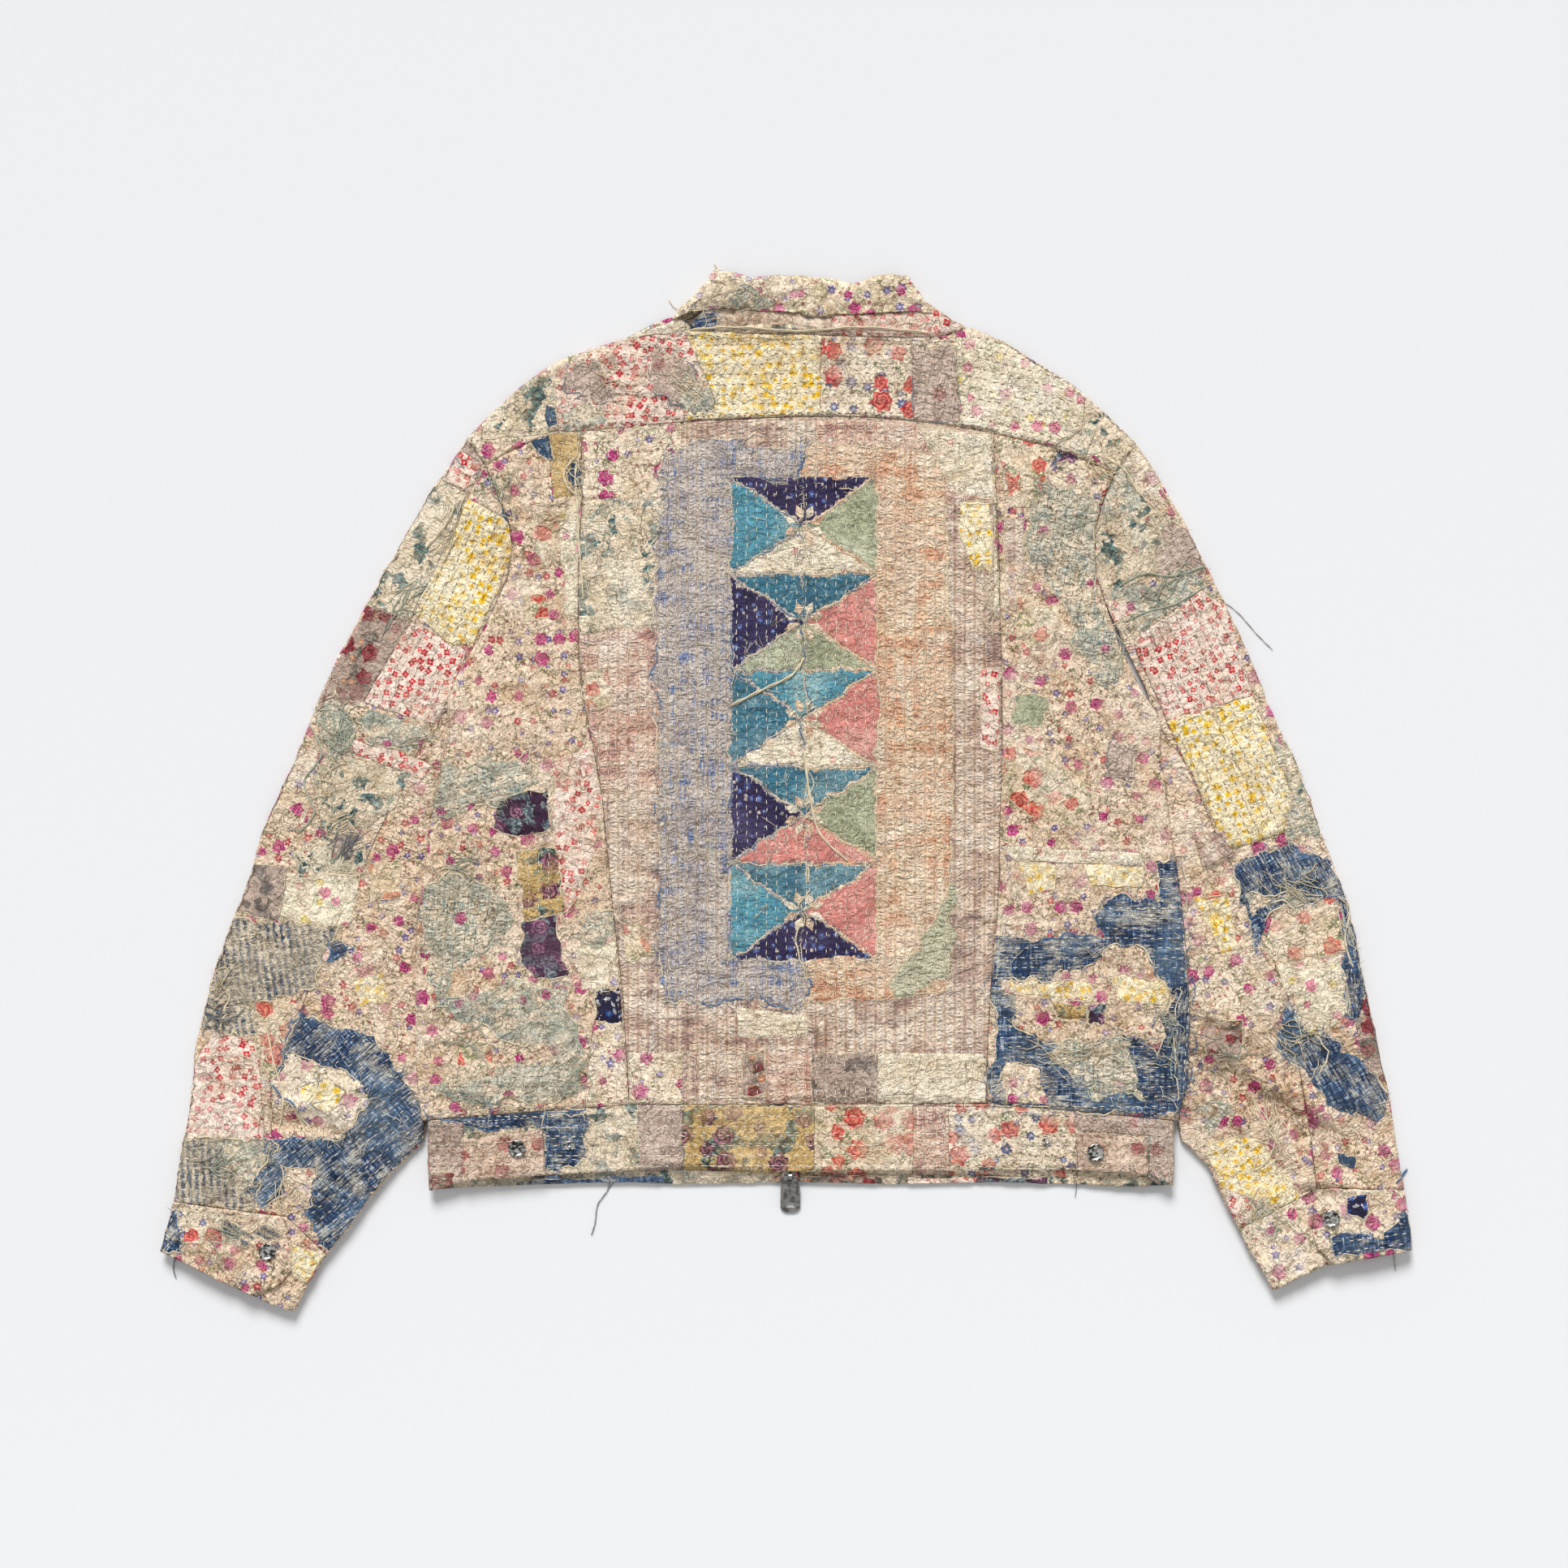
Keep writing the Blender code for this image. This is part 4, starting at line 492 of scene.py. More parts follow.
def spunCotton(name):
    light, dark = threadShades[name]
    material, tree = newMaterial(name)
    place = add(tree, "TexCoord", out=3)
    mottled = add(tree, "TexNoise", place, 260, 2, noise_dimensions="3D")
    colour = add(tree, "Mix", mottled, hexColour(light), hexColour(dark))
    shader = add(tree, "BsdfPrincipled", links={
        "Base Color": colour, "Roughness": 0.9, "IOR": 1.5, "Specular IOR Level": 0.2,
        "Sheen Weight": 0.15})
    finishMaterial(tree, shader)
    return material


threads = {name: spunCotton(name) for name in threadShades}


# zinc, die cast, nickel plated and tumbled: soft grey shine, dark in the recesses; size of the patina in mm
def antiqueNickel(name, light, dark, size):
    material, tree = newMaterial(name)
    place = add(tree, "TexCoord", out=3)
    scuffs = add(tree, "TexNoise", place, 900, 4, noise_dimensions="3D")
    patina = add(tree, "TexNoise", place, 1000 / size, 3, noise_dimensions="3D")
    patina = add(tree, "MapRange", patina, 0.4, 0.6, 0, 1)
    colour = add(tree, "Mix", patina, hexColour(light), hexColour(dark))
    rough = add(tree, "MapRange", scuffs, 0.3, 0.7, 0.26, 0.46)
    bump = add(tree, "Bump", scuffs, 0.25, 0.2 * mm)
    shader = add(tree, "BsdfPrincipled", links={
        "Base Color": colour, "Roughness": rough, "Metallic": 1.0, "Normal": bump})
    finishMaterial(tree, shader)
    return material


def wovenTape():  # herringbone polyester zip tape: close ribs, slight shine
    material, tree = newMaterial("wovenTape")
    place = add(tree, "TexCoord", out=3)
    ribs = add(tree, "TexWave", out=1, bands_direction="DIAGONAL", links={
        "Vector": place, "Scale": 420, "Distortion": 1.5, "Detail": 1})
    colour = add(tree, "Mix", ribs, hexColour("9A8C70"), hexColour("B8A988"))
    bump = add(tree, "Bump", ribs, 0.4, 0.2 * mm)
    shader = add(tree, "BsdfPrincipled", links={
        "Base Color": colour, "Roughness": 0.7, "IOR": 1.5, "Normal": bump})
    finishMaterial(tree, shader)
    return material


nickel, tape = antiqueNickel("antiqueNickel", "A9A8A4", "6F6C68", 4.8), wovenTape()
pressedNickel = antiqueNickel("pressedNickel", "DAD8D3", "34302C", 2.6)  # caps pressed with a dark pattern

# The lie of the cloth.
# Folds that show, listed one by one: from, to, half width and height in mm; a height below 0 is a trough
folds = [
    (-216, 205, -222, 160, 6, -2.8), (-206, 212, -212, 160, 7, 3.4), (-262, 226, -276, 196, 6, 2.4),
    (-258, 120, -250, 92, 5, -1.6), (-300, 20, -280, -40, 7, 1.8), (-268, 60, -286, 20, 6, -1.5),
    (-404, -245, -338, -258, 7, 4.8), (-410, -262, -340, -272, 5, -2.8), (-392, -270, -330, -300, 8, 4.4),
    (-385, -228, -310, -240, 7, 3.4), (-372, -290, -310, -262, 5, -1.8), (-330, -160, -300, -240, 7, 2.4),
    (-345, -130, -318, -215, 5, -1.4), (-425, -60, -385, -90, 6, 1.8), (-446, -125, -400, -140, 6, 1.6),
    (-466, -200, -440, -232, 5, 2.2), (-452, -205, -447, -240, 4, -1.5), (-420, -300, -398, -330, 6, 2.0),
    (-384, -110, -350, -140, 7, 1.8), (-372, -20, -340, -60, 6, 1.6), (-355, 60, -330, 10, 7, 1.6),
    (-330, -330, -380, -360, 6, 2.2), (-352, -300, -372, -350, 5, -1.6), (-440, -250, -415, -285, 6, 1.9),
    (260, 240, 262, 150, 6, -2.6), (268, 235, 274, 160, 7, 3.4), (282, 262, 316, 210, 5, 2.4),
    (252, 96, 300, 30, 6, 1.8), (300, 130, 270, 80, 5, -1.4), (316, -160, 392, -212, 8, 5.4),
    (314, -188, 442, -268, 8, 6.4), (320, -214, 446, -286, 7, -5.4), (330, -212, 352, -262, 7, 4.0),
    (352, -224, 372, -276, 5, -3.0), (396, -222, 450, -250, 6, 2.6), (340, -250, 420, -300, 8, 3.4),
    (404, -306, 448, -312, 5, 4.2), (398, -316, 440, -322, 5, -3.4), (360, -240, 396, -300, 6, 2.2),
    (320, -230, 340, -290, 6, 1.8), (400, -140, 440, -190, 6, 1.8), (430, -60, 450, -130, 5, 1.6),
    (372, -60, 430, -52, 5, 2.0),
    (300, -100, 330, -150, 6, 1.7), (336, -300, 372, -346, 6, 1.9), (380, -316, 410, -356, 5, 1.6),
    (-190, 330, -120, 318, 5, 1.9), (-150, 345, -100, 340, 4, 2.0), (-120, 330, -80, 305, 5, 1.6),
    (110, 340, 130, 300, 5, 1.2), (150, 350, 215, 322, 5, 1.2), (-60, 362, 60, 364, 3, 1.0),
    (136, 226, 150, 170, 4, 2.8), (150, 176, 166, 110, 4, 2.6), (128, 150, 156, 60, 4, 2.0),
    (160, 60, 158, -40, 4, 1.3), (20, 240, 60, 180, 5, 0.9), (-130, -120, -40, -200, 6, 0.9),
    (-260, -30, -200, -60, 6, 1.3), (-270, -120, -200, -150, 6, 1.4), (-250, -190, -180, -200, 6, 1.3),
    (190, 150, 240, 110, 6, 1.5), (190, 20, 270, -10, 6, 1.3), (180, -110, 290, -100, 5, 1.3),
    (190, -170, 300, -160, 5, 1.5), (-20, -256, -78, -262, 4, 2.4), (-60, -272, -10, -286, 4, -1.5),
    (-70, -280, 0, -292, 4, 2.0), (100, -286, 140, -292, 4, 1.4), (-200, -252, -120, -258, 3, 1.2),
    (-84, 379, 20, 377, 3, -1.9), (20, 377, 136, 379, 3, -2.2), (-60, 352, 120, 352, 3, -1.2),
    (-486, -352, -420, -372, 5, 1.6), (-430, -380, -380, -398, 5, 1.4), (400, -340, 440, -372, 5, 1.4),
]


def pointsOf(text):  # an outline or a line written as "x,y x,y ..." in mm
    return [tuple(map(int, pair.split(","))) for pair in text.split()]


# Seams between the pieces, in mm
seamLines = {
    "yoke": "-240,278 -162,283 -60,291 60,293 163,281 212,268 259,249",
    "sideLeft": "-162,283 -161,225 -164,172 -164,107 -156,51 -145,-8 -139,-71 -132,-132 -127,-194 -124,-248",
    "sideRight": "163,281 166,225 168,175 169,117 170,56 169,-4 168,-67 163,-130 159,-192 158,-247",
    "waist": "-286,-260 -200,-254 -124,-249 -40,-246 60,-245 158,-247 240,-254 307,-260",
    "armLeft": "-244,265 -229,235 -219,212 -216,191 -220,167 -231,143 -249,106",
    "armRight": "268,261 251,231 244,208 243,188 245,167 251,148",
}
seams = {name: pointsOf(text) for name, text in seamLines.items()}


def softNoise(x, y, size, seed):  # smooth hills about size mm across, from -1 to 1
    grid = np.random.default_rng(seed).uniform(-1, 1, (256, 256))
    u, v = x / size + 128.37, y / size + 128.71
    i, j = np.floor(u).astype(int), np.floor(v).astype(int)
    fu, fv = u - i, v - j
    fu, fv = fu * fu * (3 - 2 * fu), fv * fv * (3 - 2 * fv)
    i, j, k, m = i % 256, j % 256, (i + 1) % 256, (j + 1) % 256
    low = grid[i, j] * (1 - fu) + grid[k, j] * fu
    high = grid[i, m] * (1 - fu) + grid[k, m] * fu
    return low * (1 - fv) + high * fv


def toLine(x, y, x0, y0, x1, y1):  # distance to a line and the share of the way along it
    dx, dy = x1 - x0, y1 - y0
    t = np.clip(((x - x0) * dx + (y - y0) * dy) / (dx * dx + dy * dy), 0, 1)
    return np.hypot(x - x0 - t * dx, y - y0 - t * dy), t


foldMargin = 40  # mm beyond a fold's ends where it is still felt


def relief(x, y, ribs=0.0):  # how far the cloth stands above its even lie, all in mm
    height = 0.9 * softNoise(x, y, 46, 3) + 0.8 * softNoise(x, y * 1.3, 19, 5)
    crumple = 1 - 2 * np.abs(softNoise(x + 0.4 * y, y - 0.3 * x, 12, 7))
    height += 0.7 * crumple * (1.1 + softNoise(x, y, 60, 8))
    height += 0.5 * (1 - 2 * np.abs(softNoise(x, y, 7.5, 9)))
    if ribs:
        height += ribs * np.cos(2 * math.pi * x / rowGap + 0.5 * softNoise(x, y, 40, 11))
    bend = 7 * softNoise(x, y, 26, 13)
    for x0, y0, x1, y1, width, tall in folds:
        near = ((np.abs(x - (x0 + x1) / 2) < abs(x1 - x0) / 2 + foldMargin)
                & (np.abs(y - (y0 + y1) / 2) < abs(y1 - y0) / 2 + foldMargin))
        if near.any():
            d, t = toLine(x[near] + bend[near] * 0.5, y[near] + bend[near] * 0.4, x0, y0, x1, y1)
            height[near] += tall * np.exp(-(d / width) ** 2) * np.clip(5 * t * (1 - t) + 0.15, 0, 1)
    for line in seams.values():
        d = np.full(x.shape, 99.0)
        for (x0, y0), (x1, y1) in zip(line, line[1:]):
            d = np.minimum(d, toLine(x, y, x0, y0, x1, y1)[0])
        height += 0.7 * np.exp(-((d - 4.5) / 2.6) ** 2) - 0.9 * np.exp(-(d / 1.8) ** 2)
    return height


def treeOf(objects):
    corners, faces = [], []
    for thing in objects:
        first = len(corners)
        corners += [v.co.copy() for v in thing.data.vertices]
        faces += [[first + i for i in face.vertices] for face in thing.data.polygons]
    return BVHTree.FromPolygons(corners, faces)


aboveAll = 80 * mm


def heightOn(tree, x, y):  # the top of the cloth at x, y, in metres
    hit = tree.ray_cast(Vector((x, y, aboveAll)), Vector((0, 0, -1)))
    return None if hit[0] is None else hit[0].z


def setCut(mesh, points, grain, shift):  # where each point was on the bolt of cloth, in mm
    c, s = math.cos(math.radians(grain)), math.sin(math.radians(grain))
    x, y = points[:, 0] / mm, points[:, 1] / mm
    flat = np.stack([c * x + s * y + shift[0], -s * x + c * y + shift[1], np.zeros(len(x))], 1)
    layer = mesh.attributes.new("cut", "FLOAT_VECTOR", "POINT")
    layer.data.foreach_set("vector", flat.astype(np.float32).ravel())


# Where the cloth is darkened: grey-brown with handling, and painted shade in the deep folds of the forearms
# and in the band under the collar fall: x, y and reach in mm, and how much
handledAndShaded = [
    (360, -222, 50, 1.0), (404, -276, 34, 0.6), (330, -170, 45, 0.4), (340, -262, 36, 0.4),
    (436, -300, 30, 0.3), (400, -175, 45, 0.35), (-350, -300, 46, 0.45),
    (-300, -60, 40, 0.25), (-290, 30, 40, 0.3), (-386, 20, 36, 0.5), (-430, -150, 36, 0.3),
    (-190, 335, 34, 0.3), (-100, 320, 40, 0.25), (130, 320, 30, 0.12), (20, 366, 60, 0.4),
    (300, 180, 38, 0.3), (200, -10, 46, 0.25), (240, -130, 60, 0.3), (-230, -60, 60, 0.1),
    (-180, -180, 50, 0.12), (-120, -40, 60, 0.3), (140, 20, 50, 0.3), (60, -275, 70, 0.42),
    (-200, -280, 60, 0.4), (240, -285, 60, 0.34), (150, 170, 34, 0.35), (-215, 190, 36, 0.25),
    # (20, 366) above, and from (-52, 370) to (-60, 350): painted shadow under the collar fall
    (-470, -350, 40, 0.3), (450, -340, 40, 0.25), (-52, 370, 14, 0.4), (-26, 371, 14, 0.5),
    (2, 371, 14, 0.5), (30, 371, 14, 0.5), (58, 371, 14, 0.45), (84, 371, 13, 0.35), (-60, 350, 40, 0.2),
    (-20, -190, 70, 0.2),
]


def setSoilAndShade(mesh, x, y):  # darkening, 0 to 1: painted shade in the troughs of the relief, and grey-brown wear with painted shade at the listed places; x, y in mm
    soilAndShade = np.clip(0.26 - relief(x, y) * 0.24, 0, 0.62)
    blotch = np.clip(0.75 + 0.5 * softNoise(x, y, 17, 51) + 0.35 * softNoise(x, y, 7, 52), 0, 1.6)
    for x0, y0, reach, amount in handledAndShaded:
        soilAndShade += amount * np.exp(-((x - x0) ** 2 + (y - y0) ** 2) / reach ** 2) * blotch
    layer = mesh.attributes.new("soilAndShade", "FLOAT", "POINT")
    layer.data.foreach_set("value", np.clip(soilAndShade, 0, 1).astype(np.float32))


def linkPiece(name, mesh):
    piece = bpy.data.objects.new(name, mesh)
    bpy.context.scene.collection.objects.link(piece)
    mesh.polygons.foreach_set("use_smooth", [True] * len(mesh.polygons))
    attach(piece, "jacket")
    return piece


# The sewn pieces of the jacket, each a thin shell on its solid's form;
# grain turns the print and its rows of stitches; ribs is the ripple of close quilting, in mm
shells = {
    "back_centre": dict(cloth="mauveCheck", grain=90, ribs=0.3, flat=(0.34, 0.55), area=0.172,
                        slot="mauve_print"),
    "back_side_left": dict(cloth="ditsyLawn", grain=4, flat=(0.17, 0.55), area=0.065,
                           slot="beige_print"),
    "back_side_right": dict(cloth="ditsyLawn", grain=-3, flat=(0.165, 0.55), area=0.066,
                            slot="beige_print"),
    "back_yoke": dict(cloth="roseLawn", grain=2, flat=(0.54, 0.12), area=0.035, slot="cream_print"),
    "front_left": dict(cloth="ditsyLawn", grain=3, flat=(0.31, 0.64), area=0.158, slot="beige_print"),
    "front_right": dict(cloth="roseLawn", grain=-2, flat=(0.32, 0.64), area=0.167,
                        slot="cream_print"),
    "sleeve_upper_left": dict(cloth="ditsyLawn", grain=62, flat=(0.3, 0.62), area=0.101,
                              slot="beige_print"),
    "sleeve_under_left": dict(cloth="ditsyLawn", grain=68, flat=(0.2, 0.44), area=0.064,
                              slot="beige_print"),
    "sleeve_upper_right": dict(cloth="ditsyLawn", grain=-62, flat=(0.28, 0.6), area=0.09,
                               slot="beige_print"),
    "sleeve_under_right": dict(cloth="ditsyLawn", grain=-68, flat=(0.18, 0.42), area=0.054,
                               slot="beige_print"),
    "waistband": dict(cloth="tealLeaf", grain=0, flat=(1.17, 0.06), slot="cream_print"),
    "cuff_left": dict(cloth="ditsyLawn", grain=-28, flat=(0.3, 0.06), slot="beige_print"),
    "cuff_right": dict(cloth="roseLawn", grain=28, flat=(0.3, 0.06), slot="cream_print"),
    "collar_fall": dict(cloth="collarCotton", grain=0, wavy=4.5, flat=(0.21, 0.056), slot="cream_print"),
    "collar_stand": dict(cloth="palePink", grain=0, flat=(0.4, 0.04), slot="beige_print"),
    "waist_tab_left": dict(cloth="tabCotton", grain=0, flat=(0.066, 0.04), slot="mauve_print"),
    "waist_tab_right": dict(cloth="tabCotton", grain=0, flat=(0.057, 0.035), slot="mauve_print"),
}
# Where the outline lies closer to its neighbour: middle, reach and shift in mm, and the pieces moved
pulls = [
    (-272, 73, 24, 10, 2, ("sleeve_upper_left", "sleeve_under_left")),
    (-254, 75, 24, -9, 0, ("back_side_left", "front_left")),
    (298, 50, 22, -8, 2, ("sleeve_upper_right", "sleeve_under_right")),
    (281, 52, 22, 7, 0, ("back_side_right", "front_right")),
    (-92, 361, 16, 4, 11, ("back_yoke",)),
    (142, 358, 15, -6, 4, ("back_yoke",)),
    (132, 361, 13, 13, 8, ("collar_stand",)),
]
fine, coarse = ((3.9, 9.0))  # longest side of a facet: top, underside
clear, covering = 0.2 * mm, 9 * mm  # a facet with cloth as near as this over it doesn't show
mostCuts, roundings = 14, 10  # how often facets are split, and how often their corners are rounded


def refineShell(name, allTree):
    look = shells[name]
    bm = bmesh.new()
    bm.from_mesh(nodes[name].data)
    bmesh.ops.remove_doubles(bm, verts=bm.verts, dist=1e-5)
    bmesh.ops.triangulate(bm, faces=bm.faces)
    bm.normal_update()
    reach = bm.faces.layers.float.new("reach")
    for face in bm.faces:
        middle, up = face.calc_center_median(), face.normal
        hit = allTree.ray_cast(middle + up * clear, up, covering)
        side = fine if up.z > 0.35 else (coarse if up.z < -0.35 else fine * 1.6)
        face[reach] = 0.0 if hit[0] is not None else side * mm  # 0: nothing of it shows
    for _ in range(mostCuts):
        long = [edge for edge in bm.edges
                if any(0 < face[reach] < edge.calc_length() for face in edge.link_faces)]
        if not long:
            break
        bmesh.ops.subdivide_edges(bm, edges=long, cuts=1, use_grid_fill=True, use_single_edge=True)
        bmesh.ops.triangulate(bm, faces=[face for face in bm.faces if len(face.verts) > 3])
    bm.normal_update()
    bm.verts.ensure_lookup_table()
    count = len(bm.verts)
    at = np.array([v.co for v in bm.verts])
    shown = np.array([all(face[reach] > 0 for face in v.link_faces) for v in bm.verts])
    pairs = np.array([[edge.verts[0].index, edge.verts[1].index] for edge in bm.edges])
    normal = np.array([v.normal for v in bm.verts])
    sharp = np.array([any(e.calc_face_angle(0) > 0.9 for e in v.link_edges) for v in bm.verts])
    free = shown & ~sharp  # what may round off: all that shows, but for its sharp edges
    firm = np.clip(np.abs(normal[:, 2]) * 1.5 - 0.3, 0.12, 1)[:, None] * 0.6  # less so at the sides
    links = np.bincount(pairs.ravel(), minlength=count)[:, None]
    for _ in range(roundings):
        total = np.zeros((count, 3))
        np.add.at(total, pairs[:, 0], at[pairs[:, 1]])
        np.add.at(total, pairs[:, 1], at[pairs[:, 0]])
        at[free] += (firm * (total / links - at))[free]
    x, y = at[:, 0] / mm, at[:, 1] / mm
    for x0, y0, spread, dx, dy, moved in pulls:
        if name in moved:
            pull = np.exp(-((x - x0) ** 2 + (y - y0) ** 2) / spread ** 2) * mm
            at[:, 0] += dx * pull
            at[:, 1] += dy * pull
    lift = relief(x, y, look.get("ribs", 0)) * mm
    top = np.clip(normal[:, 2] * 1.4, 0, 1) * shown
    at[:, 2] += lift * top
    edge = np.clip(1.4 - np.abs(normal[:, 2]) * 1.6, 0, 1) * shown  # outlines waver a little
    waver = (0.9 * softNoise(x, y, 13, 21) + 0.5 * softNoise(x, y, 5, 22)
             + look.get("wavy", 0.6) * softNoise(x, y, 27, 23)) * mm
    at[:, :2] += normal[:, :2] * (waver * edge)[:, None]
    at[:, 2] = np.maximum(at[:, 2], 0)
    mesh = bpy.data.meshes.new(name)
    bm.to_mesh(mesh)
    bm.free()
    mesh.vertices.foreach_set("co", at.ravel())
    mesh.update()
    setCut(mesh, at, look["grain"], (dice.uniform(0, 300), rowGap * dice.randint(0, 40)))
    setSoilAndShade(mesh, x, y)
    mesh.materials.clear()
    mesh.materials.append(cloths[look["cloth"]])
    piece = linkPiece("shell_" + name, mesh)
    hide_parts(name)
    return piece


everyCloth = treeOf([nodes[name] for name in shells])
pieces = {name: refineShell(name, everyCloth) for name in shells}
print("shells:", {name: len(piece.data.polygons) for name, piece in pieces.items()})

# The patchwork, in sewing order: cloth, fray (0 hemmed, 1 ragged), grain in degrees, thread of the
# running stitches and outline in mm
yokePatches = [
    ("tealLeaf", 0.1, 8, "", "-240,288 -217,313 -190,330 -181,316 -179,283 -202,279 -240,276"),
    ("redBlossom", 0.4, -6, "dark", "-182,316 -167,340 -143,352 -110,358 -80,361 -66,328 -56,300 -83,286 "
     "-179,281"),
    ("sageGauze", 0.7, 20, "", "-178,300 -150,304 -140,285 -178,282"),
    ("mauveCloth", 0.8, 15, "", "-170,338 -147,336 -138,310 -150,300 -174,320"),
    ("mauveCloth", 0.8, 35, "", "-108,346 -83,340 -62,323 -68,306 -90,298 -104,313"),
    ("sageGauze", 0.6, 40, "", "-82,330 -56,314 -56,300 -86,297"),
    ("creamCloth", 0.0, 12, "", "-126,356 -93,368 -80,374 -80,360"),
    ("yellowBlossom", 0.05, 1, "dark", "-81,362 27,362 27,292 -83,288 -79,298 -56,303 -62,322"),
    ("redBlueFloral", 0.0, 0, "dark", "27,361 98,359 101,291 27,292"),
    ("mauveCloth", 0.5, 80, "dark", "98,348 134,350 138,289 100,291"),
    ("paleSprig", 0.05, -14, "dark", "134,357 177,355 211,333 236,312 233,283 211,270 164,280 136,286"),
    ("tealLeaf", 0.2, -40, "", "236,312 262,290 276,272 261,248 244,262 212,268 233,284"),
    ("inkCloth", 0.1, -80, "white", "-189,303 -182,300 -180,288 -187,286 -191,295"),
]
leftSidePatches = [
    ("ochreCloth", 0.1, 0, "white", "-188,283 -160,283 -160,258 -168,231 -184,230"),
    ("inkCloth", 0.3, 0, "", "-170,262 -162,258 -161,238 -168,234 -173,247"),
    ("inkCloth", 0.3, 30, "", "-203,278 -188,283 -184,257 -197,266"),
    ("paleSprig", 0.3, 90, "white", "-179,216 -158,230 -158,128 -174,140 -176,176"),
    ("coralRose", 0.4, 20, "", "-198,216 -179,217 -179,196 -188,174 -200,190"),
    ("coralRose", 0.5, 0, "", "-211,152 -190,152 -186,136 -206,132"),
    ("sageGauze", 1.0, 12, "dark", "-280,15 -240,20 -201,28 -197,8 -222,-6 -247,-16 -276,-20"),
    ("redBlossom", 0.3, 80, "", "-184,22 -152,32 -144,-19 -152,-48 -163,-78 -174,-100 -183,-36"),
    ("plumFloral", 0.5, 10, "", "-227,-8 -212,-2 -189,0 -184,-32 -211,-38 -232,-32"),
    ("ochreLeaf", 0.4, 90, "white", "-214,-49 -180,-45 -176,-98 -206,-104 -209,-75"),
    ("plumFloral", 0.5, 70, "", "-209,-104 -182,-99 -173,-147 -201,-149 -208,-134"),
    ("sageGauze", 1.0, 85, "dark", "-284,-80 -263,-62 -240,-80 -222,-91 -220,-119 -250,-138 -276,-165 "
     "-290,-130"),
    ("sageGauze", 1.0, 5, "", "-276,-168 -240,-158 -211,-152 -178,-163 -166,-190 -158,-216 -176,-236 "
     "-190,-206 -222,-196 -257,-178"),
    ("sageGauze", 1.0, 0, "dark", "-278,-230 -230,-220 -178,-215 -162,-236 -201,-250 -246,-250"),
    ("creamCloth", 0.5, 0, "", "-166,-124 -132,-122 -137,-158 -160,-160"),
    ("coralRose", 0.5, 0, "", "-261,-198 -236,-196 -227,-226 -256,-228"),
    ("roseLawn", 0.1, 88, "", "-133,-126 -124,-248 -159,-252 -153,-189"),
    ("navyFloral", 0.6, 40, "", "-149,-156 -130,-154 -127,-184 -152,-182"),
    ("sageGauze", 1.0, 10, "", "-158,-96 -138,-92 -132,-112 -148,-124 -160,-112"),
    ("mauveCheck", 0.6, 90, "", "-286,62 -262,70 -256,40 -280,32"),
]
centrePatches = [
    ("roseLawn", 0.1, 90, "white", "-166,290 -83,291 -82,230 -166,228"),
    ("tealLeaf", 0.2, 90, "white", "-166,227 -82,229 -87,190 -93,132 -164,122"),
    ("pinkCheck", 0.2, 90, "white", "-164,121 -94,130 -97,60 -96,-4 -148,-2"),
    ("mauveCheck", 0.2, 90, "white", "-148,-4 -100,-4 -98,-106 -140,-104"),
    ("pinkCheck", 0.3, 90, "white", "24,292 62,292 163,281 167,226 101,222 67,235 24,240"),
    ("creamCloth", 0.3, 90, "white", "104,286 163,280 166,228 128,234"),
    ("yellowBlossom", 0.3, 90, "white", "137,227 161,228 162,171 147,174 136,205"),
    ("paleSprig", 0.2, 90, "white", "163,275 172,275 172,135 164,135"),
    ("coralRose", 0.4, 0, "white", "-131,-105 -113,-102 -106,-131 -125,-134"),
    ("creamCloth", 0.1, 90, "white", "-40,-171 17,-179 17,-195 -38,-195"),
    ("roseLawn", 0.1, 90, "white", "-126,-207 -82,-208 -82,-250 -126,-250"),
    ("mauveCheck", 0.2, 90, "white", "-82,-206 -34,-206 -34,-249 -82,-249"),
    ("maroonFloral", 0.5, 90, "white", "-34,-207 -15,-207 -16,-238 -34,-240"),
    ("pinkCheck", 0.1, 90, "white", "-16,-208 20,-208 20,-248 -16,-248"),
    ("mauveLeaf", 0.3, 90, "white", "20,-208 72,-208 72,-248 20,-248"),
    ("creamCloth", 0.1, 90, "white", "72,-208 160,-208 159,-250 72,-249"),
    ("coralRose", 0.5, 0, "white", "-160,92 -138,96 -136,66 -158,62"),
    ("redBlossom", 0.4, 90, "white", "152,96 168,96 168,30 154,32"),
]
